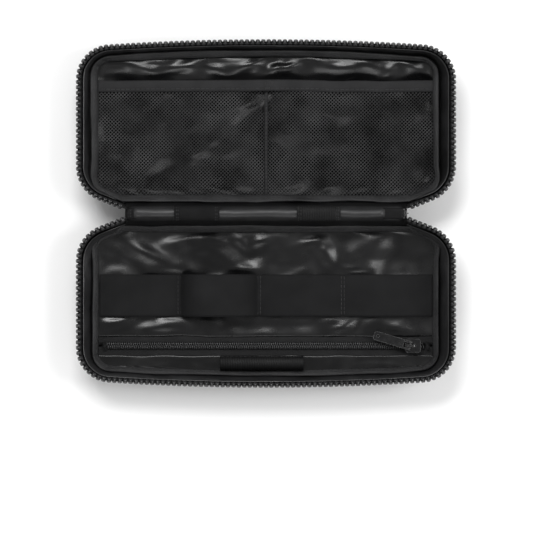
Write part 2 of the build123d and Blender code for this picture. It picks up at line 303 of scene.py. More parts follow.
def hard(key, name, slot, dark, light, roughness, specular, edge_highlight_and_wear=None):
    """Moulded plastic or coated metal; the edge setting paints a highlight along the rounded
    edges and adds scratches as wear.
    """
    material, shader, inputs, _ = new_material(name)
    place = shader.coordinates("Object")
    grain = shader.noise(place, scale=500.0, detail=2.0, roughness=0.6)
    colour = shader.mix(shader.ramp(grain, span=(0.3, 0.7)), (dark[0], *dark),
                        (light[0], *light))
    # painted highlight: lightens the rounded edges; the scratches are wear
    if edge_highlight_and_wear:
        rounded = shader.node("ShaderNodeBevel", samples=2)
        shader.feed(rounded.inputs["Radius"], 0.00045)      # metres
        dot = shader.node("ShaderNodeVectorMath", operation="DOT_PRODUCT")
        shader.feed(dot.inputs[0], rounded.outputs[0])
        shader.feed(dot.inputs[1], shader.node("ShaderNodeNewGeometry").outputs["Normal"])
        edge = shader.math("SUBTRACT", 1.0, dot.outputs["Value"])
        edge = shader.ramp(edge, span=(0.01, 0.08), result=(0.0, edge_highlight_and_wear))
        scratch = shader.noise(place, scale=1800.0, detail=1.0, roughness=0.5)
        scratch = shader.ramp(scratch, span=(0.70, 0.78), result=(0.0, edge_highlight_and_wear * 0.4))
        colour = shader.mix(shader.math("MAXIMUM", edge, scratch), colour, (0.16, 0.16, 0.16))
    shader.feed(inputs["Base Color"], colour)
    gloss = shader.noise(place, scale=200.0, detail=3.0)
    shader.feed(inputs["Roughness"], shader.ramp(
        gloss, span=(0.3, 0.7), result=(roughness - 0.07, roughness + 0.09)))
    shader.feed(inputs["Specular IOR Level"], specular)
    relief = shader.noise(place, scale=1500.0, detail=1.0)
    shader.feed(inputs["Normal"], shader.bump(relief, 0.02 * MM))
    MATERIALS[key], SLOTS[key] = material, slot


COATED = dict(slot="lining", weave="plain", pitch=(0.30, 0.30), depth=0.012, blotch_scale=45,
              blotch=0.7, weave_tint=0.15, fine=0.4, crackle=4.0, roughness_spread=0.07)
DARK_COATED = dict(COATED, dark=(0.0025, 0.0027), light=(0.00625, 0.0066), roughness=0.27,
                   specular=0.48)

fabric("outer", "outer_nylon", "outer_fabric", dark=(0.005, 0.0055), light=(0.017, 0.018),
       roughness=0.62, specular=0.224, weave="plain", pitch=(0.62, 0.62), depth=0.16,
       blotch_scale=55, blotch=0.35, weave_tint=0.55, sheen=0.02, fine=0.3)
fabric("lining", "coated_lining", **DARK_COATED)
# painted shade: darkens down the slopes of the fold, where the flanks lie in shadow
fabric("fold_lining", "coated_lining_fold", dark=(0.007, 0.0075), light=(0.023, 0.024),
       roughness=0.50, specular=0.496, shade=dict(axis=2, span=(0.0195, 0.0245), least=0.28),
       **COATED)
# painted shade: darkens the lining under the net of the lid
fabric("lid_lining", "coated_lining_lid",
       shade=dict(axis=1, span=(0.074, 0.081), least=0.35), **DARK_COATED)
fabric("wall", "coated_wall_lining", dark=(0.006, 0.00625), light=(0.021, 0.022),
       roughness=0.36, specular=0.496, **COATED)
fabric("binding", "binding_tape", "binding_tape", dark=(0.004, 0.00425), light=(0.025, 0.026),
       roughness=0.52, specular=0.336, weave="twill", pitch=(0.75, 0.9), depth=0.09,
       blotch_scale=60, blotch=0.65, weave_tint=0.45, sheen=0.02, fine=0.3)
fabric("tape", "zip_tape", "zip_tape", dark=(0.004, 0.00425), light=(0.011, 0.0115),
       roughness=0.70, specular=0.224, weave="herring", pitch=(0.8, 2.2), depth=0.14,
       blotch_scale=70, blotch=0.3, weave_tint=0.65, fine=0.2)
fabric("band", "band_elastic", "elastic", dark=(0.00375, 0.004), light=(0.00825, 0.00875),
       roughness=0.74, specular=0.16, weave="ribs_v", pitch=(1.0, 0.55), depth=0.07,
       blotch_scale=35, blotch=0.45, weave_tint=0.5, sheen=0.012, fine=0.35)
fabric("edge", "edge_elastic", "elastic", dark=(0.008, 0.0085), light=(0.016, 0.017),
       roughness=0.66, specular=0.24, weave="ribs_v", pitch=(1.0, 0.6), depth=0.08,
       blotch_scale=60, blotch=0.4, weave_tint=0.5, sheen=0.02, fine=0.3)
fabric("ribbed", "ribbed_elastic", "ribbed_elastic", dark=(0.002, 0.00225),
       light=(0.00625, 0.0065), roughness=0.60, specular=0.176, weave="ribs_u",
       pitch=(1.45, 1.0), depth=0.10, blotch_scale=70, blotch=0.25, weave_tint=0.7, fine=0.2)
fabric("webbing", "webbing", "webbing", dark=(0.002, 0.00225), light=(0.00525, 0.0055),
       roughness=0.66, specular=0.144, weave="twill", pitch=(0.9, 0.9), depth=0.08,
       blotch_scale=60, blotch=0.35, weave_tint=0.5, fine=0.3)
fabric("mesh", "mesh_yarn", "mesh", dark=(0.008, 0.0085), light=(0.0575, 0.059),
       roughness=0.42, specular=0.32, depth=0.05, blotch_scale=42, blotch=1.0, fine=1.0)
fabric("thread", "thread", "thread", dark=(0.010, 0.0105), light=(0.025, 0.026),
       roughness=0.5, specular=0.32, depth=0.04, blotch_scale=300, blotch=0.8, fine=1.0)
fabric("foam", "foam", "foam", dark=(0.03, 0.03), light=(0.05, 0.05),
       roughness=0.85, specular=0.16, depth=0.1, blotch_scale=500, blotch=0.8, fine=1.0)
hard("teeth", "moulded_teeth", "zip_teeth", dark=(0.006, 0.0065), light=(0.013, 0.014),
     roughness=0.24, specular=0.7)
hard("coil", "nylon_coil", "zip_coil", dark=(0.008, 0.0085), light=(0.018, 0.019),
     roughness=0.30, specular=0.5)
# slider and puller: painted highlight along the edges, plus scratches as wear
hard("slider", "coated_slider", "slider_metal", dark=(0.004, 0.0045), light=(0.009, 0.0095),
     roughness=0.22, specular=0.55, edge_highlight_and_wear=0.9)
hard("puller", "coated_puller", "puller_metal", dark=(0.0035, 0.004), light=(0.008, 0.0085),
     roughness=0.22, specular=0.55, edge_highlight_and_wear=1.0)


# ---------------------------------------------------------------------------------------------
# mesh helpers. A grid of points has the shape (rows, columns, 3).
# ---------------------------------------------------------------------------------------------
def add_mesh(name, points, faces, material, uvs=None):
    mesh = bpy.data.meshes.new(name)
    points = np.asarray(points, float).reshape(-1, 3) * MM
    mesh.from_pydata(points.tolist(), [], faces)
    if uvs is not None:
        layer = mesh.uv_layers.new(name="UVMap")
        loops = np.zeros(len(mesh.loops), np.int32)
        mesh.loops.foreach_get("vertex_index", loops)
        layer.data.foreach_set("uv", uvs.reshape(-1, 2)[loops].astype(np.float32).ravel())
    mesh.validate()
    mesh.update()
    shade_smooth(mesh)
    ob = bpy.data.objects.new(name, mesh)
    bpy.context.scene.collection.objects.link(ob)
    mesh.materials.append(material)
    return ob


def shade_smooth(mesh):
    mesh.polygons.foreach_set("use_smooth", [True] * len(mesh.polygons))


def fix_normals(ob):
    bm = bmesh.new()
    bm.from_mesh(ob.data)
    bmesh.ops.recalc_face_normals(bm, faces=bm.faces)
    bm.to_mesh(ob.data)
    bm.free()
    shade_smooth(ob.data)
    ob.data.update()


def attach(ob, body, nodes=()):
    """Tie an object to its body, or, for a tuple, only bake its transform into its mesh."""
    if isinstance(body, tuple):
        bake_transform(ob)
    else:
        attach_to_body(ob, body)
    if nodes:
        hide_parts(*nodes)


def grid_faces(rows, columns, loop=False, start=0, flip=False):
    faces = []
    for j in range(rows - 1):
        for i in range(columns if loop else columns - 1):
            a = start + j * columns + i
            b = start + j * columns + (i + 1) % columns
            c, d = b + columns, a + columns
            faces.append((a, d, c, b) if flip else (a, b, c, d))
    return faces


def grid_normals(points, loop=False):
    if loop:
        along = np.roll(points, -1, 1) - np.roll(points, 1, 1)
    else:
        along = np.gradient(points, axis=1)
    normals = np.cross(along, np.gradient(points, axis=0))
    return normals / (np.linalg.norm(normals, axis=2, keepdims=True) + 1e-9)


def uv_grid(along, across):
    return np.stack(np.meshgrid(along, across), 2)


def sheet(name, points, thickness, key, uv, body, nodes=(), loop=False, upward=True):
    """A closed sheet of even thickness about a grid; upward puts its first side on top."""
    rows, columns = points.shape[:2]
    normals = grid_normals(points, loop)
    if upward:
        normals = normals * (np.sign(normals[..., 2].mean()) or 1)
    count = rows * columns
    first, second = points + normals * thickness / 2, points - normals * thickness / 2
    faces = grid_faces(rows, columns, loop)
    faces += grid_faces(rows, columns, loop, start=count, flip=True)
    for i in range(columns if loop else columns - 1):
        after = (i + 1) % columns
        faces.append((i, count + i, count + after, after))
        a, b = count - columns + i, count - columns + after
        faces.append((a, b, count + b, count + a))
    if not loop:
        for j in range(rows - 1):
            a, b = j * columns, (j + 1) * columns
            faces.append((a, b, count + b, count + a))
            a, b = a + columns - 1, b + columns - 1
            faces.append((a, count + a, count + b, b))
    ob = add_mesh(name, np.stack([first, second]), faces, MATERIALS[key], np.stack([uv, uv]))
    fix_normals(ob)
    attach(ob, body, nodes)


def tube(centres, across, up, widths, heights, sides):
    """Capped tube with an elliptic ring at each centre."""
    angle = 2 * math.pi * np.arange(sides) / sides
    points = (centres[:, None]
              + np.outer(widths, np.cos(angle))[..., None] * across[..., None, :]
              + np.outer(heights, np.sin(angle))[..., None] * up[..., None, :])
    first = tuple(range(sides))
    last = tuple((len(centres) - 1) * sides + s for s in range(sides))
    faces = grid_faces(len(centres), sides, loop=True) + [first[::-1], last]
    return points.reshape(-1, 3), faces


def rounded_block(size, softness, cells):
    """Box with soft edges: a cube grid pushed towards a superellipsoid."""
    steps = np.tan(np.linspace(-math.pi / 4, math.pi / 4, cells + 1))
    index, points, faces = {}, [], []

    def corner(axis, side, i, j):
        cube = np.zeros(3)
        cube[axis], cube[(axis + 1) % 3], cube[(axis + 2) % 3] = side, steps[i], steps[j]
        key = tuple(np.round(cube, 5))
        if key not in index:
            index[key] = len(points)
            points.append(cube / (np.abs(cube) ** (1 / softness)).sum() ** softness)
        return index[key]

    for axis in range(3):
        for side in (-1, 1):
            for i in range(cells):
                for j in range(cells):
                    corners = ((i, j), (i + 1, j), (i + 1, j + 1), (i, j + 1))
                    face = [corner(axis, side, *c) for c in corners]
                    faces.append(tuple(face if side > 0 else face[::-1]))
    points = np.array(points)
    return points * (np.array(size) / 2 / np.abs(points).max(0)), faces


class Parts:
    """Collects many small solids into one mesh."""
    def __init__(self):
        self.points, self.faces, self.count = [], [], 0

    def add(self, points, faces):
        self.points.append(points)
        self.faces += [tuple(i + self.count for i in face) for face in faces]
        self.count += len(points)

    def stitch(self, start, end, radius, sides=5, flat=1.0, up=(0, 0, 1)):
        """Small rounded bar; flat is its height as a share of its width."""
        start, end = np.asarray(start, float), np.asarray(end, float)
        direction = end - start
        length = np.linalg.norm(direction)
        direction = direction / length
        across = np.cross(direction, up)
        across /= np.linalg.norm(across)
        stations = np.array([0.0, 0.18 * radius, 0.6 * radius, length - 0.6 * radius,
                             length - 0.18 * radius, length])
        widths = radius * np.array([0.45, 0.8, 1.0, 1.0, 0.8, 0.45])
        self.add(*tube(start + direction * stations[:, None], across,
                       np.cross(across, direction), widths, widths * flat, sides))

    def make(self, name, key, body, nodes=(), fix=False):
        ob = add_mesh(name, np.concatenate(self.points), self.faces, MATERIALS[key],
                      np.zeros((self.count, 2)))
        if fix:
            fix_normals(ob)
        attach(ob, body, nodes)


# ---------------------------------------------------------------------------------------------
# the outline of a half, as a ring of points (x, u, z)
# ---------------------------------------------------------------------------------------------
teeth_low, teeth_high = box_mm("base_zip_teeth")
HALF_W = (teeth_high[0] - teeth_low[0]) / 2 + 0.08
HALF_L = -teeth_low[1] + 0.1
ROLL_LOW, ROLL_HIGH = box_mm("fold_roll")
RIM_Z = (ROLL_LOW[2] + ROLL_HIGH[2]) / 2
FAR_R, NEAR_R = 21.0, 22.0         # radii of the far and near corners
NEAR_U = 28.2                      # centre of the near corners
TAPER_X, TAPER_U = 0.9268, 0.3756  # direction of the tapering edges beside the fold
CROWN = 3.0                        # bow of the far edge
FAR_ARC = math.pi / 2 - 0.0645     # turn of the far corner arc
FAR_SHARE = 0.70                   # inset of the far edge, as a share of the inset elsewhere
CENTRE = np.array([0, 52.0])       # point that rings shrink towards

# Kinds of segment: 0 near edge, 1 taper, 2 near arc, 3 side, 4 far arc, 5 crown.
# Negative ones are the same on the -X side, run backwards.
POINTS_PER_KIND = (84, 9, 14, 26, 18, 96)
SEGMENTS = (0, 1, 2, 3, 4, 5, -4, -3, -2, -1)
SEGMENT = np.repeat(SEGMENTS, [POINTS_PER_KIND[abs(k)] for k in SEGMENTS])
COUNT = len(SEGMENT)
KIND = np.abs(SEGMENT)
X_SIDE = np.where(SEGMENT < 0, -1, 1)
ALONG = np.concatenate([np.arange(n) / n for n in (POINTS_PER_KIND[abs(k)] for k in SEGMENTS)])
ALONG = np.where(SEGMENT < 0, 1 - ALONG, ALONG)


def crown_arc(inset):
    """End x, top u and radius of the crown, and u of the far corner centres."""
    corner_u = HALF_L - CROWN - FAR_R + (inset - FAR_SHARE * inset)
    end_x = HALF_W - FAR_R + (FAR_R - inset) * math.cos(FAR_ARC)
    top = HALF_L - FAR_SHARE * inset
    sag = top - (corner_u + (FAR_R - inset) * math.sin(FAR_ARC))
    return end_x, top, (end_x ** 2 + sag ** 2) / (2 * sag), corner_u


def outline(inset, near_u, z=0.0):
    """Outline at an inset, with the near edge at near_u; each may be an array over the ring."""
    near_r = NEAR_R - inset
    near_x = HALF_W - NEAR_R
    taper_x = near_x + near_r * TAPER_U
    taper_u = NEAR_U - near_r * TAPER_X
    start_x = taper_x + (near_u - taper_u) / TAPER_U * TAPER_X
    far_x, far_r = HALF_W - FAR_R, FAR_R - inset
    end_x, top, crown_r, far_u = crown_arc(inset)
    near_angle = math.atan2(-TAPER_X, TAPER_U) * (1 - ALONG)
    far_angle = FAR_ARC * ALONG
    crown_angle = np.arcsin(end_x / crown_r) * (1 - 2 * ALONG)
    x = np.choose(KIND, [
        start_x * (2 * ALONG - 1),
        X_SIDE * (start_x + (taper_x - start_x) * ALONG),
        X_SIDE * (near_x + near_r * np.cos(near_angle)),
        X_SIDE * (near_x + near_r),
        X_SIDE * (far_x + far_r * np.cos(far_angle)),
        crown_r * np.sin(crown_angle)])
    u = np.choose(KIND, [
        near_u,
        near_u + (taper_u - near_u) * ALONG,
        NEAR_U + near_r * np.sin(near_angle),
        NEAR_U + (far_u - NEAR_U) * ALONG,
        far_u + far_r * np.sin(far_angle),
        top - crown_r + crown_r * np.cos(crown_angle)])
    return stacked(x, u, z)


ring_length = run_length(closed(outline(0, 0.5)))
RING_S, PERIMETER = ring_length[:-1], ring_length[-1]
# the perimeter laid out as a circle, for noise that closes on itself
CIRCLE_X = np.cos(RING_S / PERIMETER * 2 * math.pi) * PERIMETER / (2 * math.pi)
CIRCLE_Y = np.sin(RING_S / PERIMETER * 2 * math.pi) * PERIMETER / (2 * math.pi)
OPEN_RING = np.append(np.arange(POINTS_PER_KIND[0], COUNT), 0)   # all but the near edge

# weights round the ring
ring_x = outline(3, 4)[:, 0]
# 0 along the near edge, 1 round the open rim, rising along the tapering edges
OPEN = np.select([KIND == 0, KIND == 1], [0.0, ease(0.0, 1.0, ALONG)], 1.0)
# 1 on the near edge and tapers, fading round the near arcs
NEAR_END = np.select([KIND < 2, KIND == 2], [1.0, 1 - ease(0.05, 1.0, ALONG)], 0.0)
# the same, but only towards the two ends of the near edge
CORNER = np.where(KIND == 0, ease(52.0, 84.0, np.abs(ring_x)), NEAR_END)
RIGHT = ease(70.0, 98.0, ring_x)                                  # 1 at the +X side


def ring_noise(seed, size):
    return layered_noise(CIRCLE_X / size + 50, CIRCLE_Y / size + 50, seed)


def two_insets(inset, near_end):
    """An inset round the half, with another one beside the fold."""
    return inset + (near_end - inset) * NEAR_END


def half_width_at(u, inset, near_u, kinds=(1, 2, 3, 4)):
    points = outline(inset, near_u)
    points = points[(points[:, 0] > 0) & np.isin(KIND, kinds)]
    order = np.argsort(points[:, 1])
    return np.interp(u, points[order, 1], points[order, 0])


def far_u_at(x, inset):
    end_x, top, radius, _ = crown_arc(inset)
    return top - radius + np.sqrt(radius ** 2 - np.clip(np.abs(x), 0, end_x) ** 2)


def corner_weight(x, u):
    """1 near the two corners beside the fold, 0 elsewhere in the panel."""
    return ease(60.0, 88.0, np.abs(x)) * (1 - ease(10.0, 30.0, u))


def panel_grid(inset, start_u, columns, rows, end_u=None, near_end=None):
    """x and u grids filling the outline from start_u to end_u, or to the far edge."""
    edge = inset if near_end is None else two_insets(inset, near_end)
    across = np.linspace(-1, 1, columns)
    grid = np.zeros((rows, columns, 2))
    for row, share in zip(grid, np.linspace(0, 1, rows)):
        def row_u(x):
            return start_u + share * ((end_u or far_u_at(x, inset)) - start_u)
        x = across * (HALF_W - inset)
        for _ in range(6):
            x = across * half_width_at(row_u(x), edge, start_u)
        row[:, 0], row[:, 1] = x, row_u(x)
    return grid[..., 0], grid[..., 1]


# ---------------------------------------------------------------------------------------------
# cloth simulation of a temporary sheet
# ---------------------------------------------------------------------------------------------
SOLVER_SCALE = 0.01        # 100 mm is one unit for the solver


def settle(points, pin, grow, frames, bend, tension, limit, pressure=0.0, loop=False):
    """Settled points of a sheet that grows by a share; limit caps how far a point moves."""
    rows, columns = points.shape[:2]
    mesh = bpy.data.meshes.new("settle")
    start = points.reshape(-1, 3) * SOLVER_SCALE
    mesh.from_pydata(start.tolist(), [], grid_faces(rows, columns, loop))
    mesh.update()
    ob = bpy.data.objects.new("settle", mesh)
    scene = bpy.context.scene
    scene.collection.objects.link(ob)
    group = ob.vertex_groups.new(name="pin")
    weights = pin.ravel()
    for weight in np.unique(weights[weights > 0]):
        group.add([int(i) for i in np.nonzero(weights == weight)[0]], float(weight), "REPLACE")
    cloth = ob.modifiers.new("cloth", "CLOTH")
    settings = dict(
        quality=6, mass=0.15, tension_stiffness=tension, compression_stiffness=tension,
        shear_stiffness=tension * 0.4, bending_stiffness=bend, tension_damping=5,
        compression_damping=5, shear_damping=5, bending_damping=0.5, air_damping=2.0,
        vertex_group_mass="pin", pin_stiffness=5.0, shrink_min=-grow)
    if pressure:
        settings.update(use_pressure=True, uniform_pressure_force=pressure)
    for key, value in settings.items():
        setattr(cloth.settings, key, value)
    cloth.settings.effector_weights.gravity = 0
    cloth.collision_settings.use_collision = False
    cloth.collision_settings.use_self_collision = False
    cloth.point_cache.frame_start = 1
    cloth.point_cache.frame_end = frames + 1
    for number in range(1, frames + 1):
        scene.frame_set(number)
    evaluated = ob.evaluated_get(bpy.context.evaluated_depsgraph_get())
    settled = np.zeros(rows * columns * 3, np.float32)
    evaluated.data.vertices.foreach_get("co", settled)
    moved = settled.astype(float).reshape(points.shape) / SOLVER_SCALE - points
    bpy.data.objects.remove(ob)
    bpy.data.meshes.remove(mesh)
    scene.frame_set(1)
    distance = np.linalg.norm(moved, axis=2, keepdims=True)
    return points + moved * (limit * np.tanh(distance / limit) / np.maximum(distance, 1e-9))


def settle_lining(points, pin, frames, limit, blur_x, blur_u, keep):
    """Settle a lining, then blur its movement so that folds run long and broad along x."""
    moved = settle(points, pin, grow=0.04, frames=frames, bend=0.05, tension=10,
                   limit=limit) - points
    blur(moved.swapaxes(0, 1), blur_x)
    blur(moved, blur_u)
    return points + moved * keep


def edge_pins(shape, far_rows=1):
    """Pin weights that hold the edges of a grid."""
    pin = np.zeros(shape)
    pin[0], pin[-far_rows:], pin[:, 0], pin[:, -1] = 1, 1, 1, 1
    return pin


def broad_folds(x, u, table):
    """Sum of elongated bumps; the table holds x, u, half sizes, height and angle of each."""
    total = 0
    for centre_x, centre_u, size_x, size_u, height, angle in table:
        c, s = math.cos(angle), math.sin(angle)
        along = (x - centre_x) * c + (u - centre_u) * s
        across = -(x - centre_x) * s + (u - centre_u) * c
        total = total + height * np.exp(-(along / size_x) ** 2 - (across / size_u) ** 2)
    return total


def fine_creases(x, u, seed):
    return (0.75 if seed == 61 else 0.8) * creases(x * 0.42, u, seed, 14.0) \
        + 0.16 * creases(x * 0.5, u, seed + 1, 8.0)


# ---------------------------------------------------------------------------------------------
# each half: padded cover, foam, lining walls, leaning seam binding, zip tape, teeth
# ---------------------------------------------------------------------------------------------
WALL_TOP = box_mm("base_outer_shell")[1][2]
# rings of the flat underside, as shares of the panel; the last one is its edge seam
PANEL_SHARES = (0.03, 0.14, 0.26, 0.38, 0.5, 0.6, 0.7, 0.78, 0.85, 0.905, 0.945, 0.972)
SEAM_ROW = len(PANEL_SHARES)
# rings up the padded side: inset, near edge u, z
COVER_SIDE = ((12.35, 9.4, 2.1), (11.9, 9.1, 2.35), (11.3, 8.7, 2.7), (10.4, 8.1, 3.4),
              (9.1, 7.3, 4.7), (7.7, 6.5, 6.3), (6.4, 5.8, 8.0), (5.3, 5.2, 9.8),
              (4.4, 4.6, 11.3), (3.8, 4.2, 12.4), (3.6, 4.0, 12.9))
COVER_LIP = ((4.2, 4.6, WALL_TOP + 0.05), (4.7, 5.1, WALL_TOP - 0.4), (5.6, 5.7, WALL_TOP - 2.0))


def shrunk(ring, share, z):
    """A ring drawn in towards the centre, at height z."""
    flat = CENTRE + (ring[:, :2] - CENTRE) * share
    return stacked(flat[:, 0], flat[:, 1], z)


def outward_sign(points, normals):
    return np.sign((normals[..., :2] * (points[..., :2] - CENTRE)).sum(2, keepdims=True))


def cover_topstitch(half, side, surface, normals):
    """Threads just inside the panel's edge, and just under the zip tape."""
    parts = Parts()
    size = dict(pitch=3.6, start=0.14, end=0.86)
    line = closed(outline(15.2, 12.2))
    lengths = run_length(line)
    for span in spans(lengths[-1], **size):
        ends = [point_at(distance, lengths, line) for distance in span]
        for end, distance in zip(ends, span):
            i = int(np.interp(distance, lengths, np.arange(COUNT + 1))) % COUNT
            panel_z = 0.65 * surface[SEAM_ROW - 1, i, 2] + 0.35 * surface[SEAM_ROW - 2, i, 2]
            end[2] = max(0.08, panel_z - 0.05)
        parts.stitch(*placed(ends, side), radius=0.26, flat=0.5, up=(0, 0, -1))
    stitch_z = 11.7
    line = closed(outline(4.25, 4.5, stitch_z))
    lengths = run_length(line)
    first, last = SEAM_ROW + 1, len(normals)
    for span in spans(lengths[-1], **size):
        ends = np.array([point_at(distance, lengths, line) for distance in span])
        i = int(np.interp(sum(span) / 2, lengths, np.arange(COUNT + 1))) % COUNT
        j = int(np.argmin(np.abs(surface[first:last, i, 2] - stitch_z))) + first
        ends += surface[j, i] - ends.mean(0) + normals[j, i] * 0.12
        parts.stitch(*placed(ends, side), radius=0.24, flat=0.6,
                     up=placed(normals[j, i], side))
    parts.make(half + "_cover_topstitch", "thread", half)


def make_cover(half, side, seed):
    panel = outline(12.9, 9.9)
    rows = [shrunk(panel, share, 1.2 + 0.5 * ease(0.7, 1, share)) for share in PANEL_SHARES]
    rows.append(shrunk(panel, 1.0, 1.9))
    rows += [outline(*station) for station in COVER_SIDE]
    outer = len(rows)
    # a lid over the rings closes the shape while it is inflated
    rows += [shrunk(rows[-1], share, WALL_TOP - 0.1) for share in (0.9, 0.7, 0.45, 0.2, 0.03)]
    points = np.array(rows)
    body = points[:outer - 3]
    body[..., 2] += 0.12 * noise(body[..., 0] / 17, body[..., 1] / 17, seed)
    pin = np.zeros(points.shape[:2])
    pin[outer - 2:] = 1.0
    pin[SEAM_ROW:SEAM_ROW + 2] = 0.25
    points = settle(points, pin, grow=0.012, frames=16, bend=0.6, tension=18.0, limit=2.2,
                    pressure=3.2, loop=True)[:outer]
    # press the underside flat just above the floor
    z = points[..., 2]
    points[..., 2] = np.where(z < 1.0, 0.10 + 0.9 * np.exp((np.minimum(z, 1.0) - 1.0) / 0.9), z)
    normals = grid_normals(points, loop=True)
    outward = outward_sign(points, normals)
    outward[outward == 0] = 1
    outward[:SEAM_ROW] = 1.0
    normals = normals * outward
    # sewn groove above the seam, and small puckers on both sides of it
    depth = np.zeros(outer)
    depth[SEAM_ROW:SEAM_ROW + 4] = (-0.25, -0.85, -0.85, -0.2)
    puckers = 0.16 * ring_noise(seed + 3, 5.0) + 0.12 * ring_noise(seed + 4, 11.0)
    amount = np.zeros(outer)
    amount[9:19] = (0.2, 0.4, 0.7, 1, 1, 1, 1, 0.8, 0.5, 0.3)
    points += normals * depth[:, None, None]
    points[:SEAM_ROW, :, 2] += amount[:SEAM_ROW, None] * np.abs(puckers) * 0.8
    points[SEAM_ROW:] += normals[SEAM_ROW:] * (amount[SEAM_ROW:, None] * puckers)[..., None]
    points[..., 2] = np.maximum(points[..., 2], 0.04)
    # broad soft dents of the padded side
    z = points[..., 2]
    weight = np.clip((z - 2) / 6, 0, 1) * np.clip((12.8 - z) / 4, 0, 1)
    dents = 0.5 * ring_noise(seed + 8, 34.0) + 0.22 * ring_noise(seed + 12, 12.0)
    points += normals * (weight * dents)[..., None]
    points = np.concatenate([points, [outline(*station) for station in COVER_LIP]])
    steps = np.linalg.norm(np.diff(points, axis=0), axis=2).mean(1)
    # flat weave on the panel, running weave on the side strip
    uv = uv_grid(RING_S, np.concatenate([[0], np.cumsum(steps)]))
    uv[:SEAM_ROW + 1] = points[:SEAM_ROW + 1, :, :2] + 300
    faces = grid_faces(len(points), COUNT, loop=True) + [tuple(range(COUNT))]
    ob = add_mesh(half + "_cover", placed(points, side), faces, MATERIALS["outer"], uv)
    fix_normals(ob)
    attach(ob, half, [half + "_outer_shell"])
    cover_topstitch(half, side, points, normals)


def make_foam(half, side):
    node = half + "_foam_pad"
    low, high = box_mm(node)
    bottom, top = low[2] + 0.75, high[2]
    half_rings = ((0.03, 0.0), (0.4, 0.0), (0.8, 0.0), (0.97, 0.1), (0.993, 0.5))
    stations = [(share, bottom + rise) for share, rise in half_rings]
    stations += [(1.0, (bottom + top) / 2)]
    stations += [(share, top - rise) for share, rise in half_rings[::-1]]
    edge = outline(13.9, 11.0)
    points = placed([shrunk(edge, *station) for station in stations], side)
    last = (len(stations) - 1) * COUNT
    faces = grid_faces(len(stations), COUNT, loop=True)
    faces += [tuple(range(COUNT)), tuple(last + i for i in range(COUNT))]
    ob = add_mesh(half + "_foam", points, faces, MATERIALS["foam"], points[..., :2])
    fix_normals(ob)
    attach(ob, half, [node])


def make_wall(half, side, seed):
    """Lining strip from the floor seam up to the zip tape, creased."""
    share = np.linspace(0, 1, 15)
    top_z = 13.1 + 3.9 * OPEN
    top_inset = 5.3 - 1.3 * OPEN
    foot_z = 5.0 + 3.4 * CORNER
    points = np.array([outline(
        two_insets(11.0 + (top_inset - 11.0) * t ** 0.92, 7.4 - 3.2 * t), 9.5 - 3.6 * t,
        foot_z + (top_z - foot_z) * t ** 1.1) for t in share])
    # creases across the strip: fast along the perimeter, slow up the wall
    up = share * 14
    slow = (up * 0.45)[:, None]
    x, y = CIRCLE_X + 400, CIRCLE_Y + 400
    folds = creases(x + slow * 0.6, y + slow, seed, 9.0) * 0.75
    folds = folds + creases(x + slow, y - slow * 0.5, seed + 40, 20.0) * 0.8
    fade = np.sin(np.linspace(0, math.pi, len(share))) ** 0.6
    normals = grid_normals(points, loop=True)
    normals *= -outward_sign(points, normals)
    points += normals * (fade[:, None] * (0.25 + 0.9 * folds * (1 - 0.6 * CORNER)))[..., None]
    sheet(half + "_lining_wall", placed(points, side), 0.5, "wall", uv_grid(RING_S, up), half,
          [half + "_lining"], loop=True, upward=False)


def make_binding(half, side, seed, foot_z):
    """Bound seam allowance standing up and leaning on the wall, wavy."""
    wide, short, long = (ring_noise(seed, 26.0), ring_noise(seed + 7, 17.0),
                         ring_noise(seed + 11, 60.0))
    lean = (4.2 + 1.4 * wide + 1.5 * long) * (1 - 0.45 * RIGHT) + 0.8 * RIGHT
    height = (3.9 + 0.9 * short + 0.5 * long) * (1 - 0.2 * CORNER)
    rows = []
    for t in np.linspace(0, 1, 7):
        inset = two_insets(12.9 + 0.6 * wide - lean * t,
                           7.9 + 0.3 * wide - (3.3 + 0.6 * wide) * t)
        z = foot_z + 0.9 * CORNER + height * t ** 0.9 + 0.35 * math.sin(math.pi * t)
        z = z + (1 - OPEN) * (0.9 + 0.5 * wide) * t
        rows.append(outline(inset, 10.7 + 0.6 * long - (3.6 + 1.1 * wide + 1.2 * long) * t, z))
    points = np.array(rows)
    up = np.linspace(0, 6.9, len(rows))
    points[..., 2] += 0.4 * np.outer(np.sin(up * 0.75), ring_noise(seed + 21, 9.0))
    points[..., 2] += 0.3 * np.outer(np.sin(up * 0.45), ring_noise(seed + 23, 4.5))
    sheet(half + "_binding", placed(points, side), 1.15, "binding", uv_grid(RING_S, up), half,
          [half + "_seam_binding"], loop=True, upward=False)
    parts = Parts()
    line = points[2] * 0.4 + points[3] * 0.6
    normals = grid_normals(points, loop=True)[3]
    raised = closed(line + normals * np.sign(normals[:, 2:]) * 0.66)
    lengths = run_length(closed(line))
    for span in spans(lengths[-1], pitch=3.2, start=0.12, end=0.82):
        ends = [point_at(distance, lengths, raised) for distance in span]
        parts.stitch(*placed(ends, side), radius=0.22, flat=0.7)
    parts.make(half + "_binding_threads", "thread", half)


# inset, near edge u, z
TAPE_PROFILE = ((3.5, 4.8, WALL_TOP - 0.6), (3.25, 4.5, 14.6), (2.8, 4.1, 16.4),
                (2.3, 3.6, 18.2), (1.85, 3.1, 19.8), (1.62, 2.75, 21.6))


def make_tape(half, side, seed):
    points = np.array([outline(*station) for station in TAPE_PROFILE])[:, OPEN_RING]
    wave = np.outer((0, 0.3, 0.6, 0.5, 0.25, 0), ring_noise(seed, 30.0)[OPEN_RING]) * 0.35
    points = points + grid_normals(points) * wave[..., None]
    uv = uv_grid(np.append(RING_S[OPEN_RING[:-1]], PERIMETER), (0, 2.2, 4.1, 6.0, 7.7, 9.5))
    sheet(half + "_rim_tape", placed(points, side), 0.8, "tape", uv, half,
          [half + "_zip_tape"], upward=False)


TOOTH_PITCH = 3.25
# size and height of the centre of the foot and of the head of a tooth
TOOTH_BLOCKS = (((2.9, 3.3, 2.5), 21.7), ((1.45, 2.7, 3.3), 23.42))


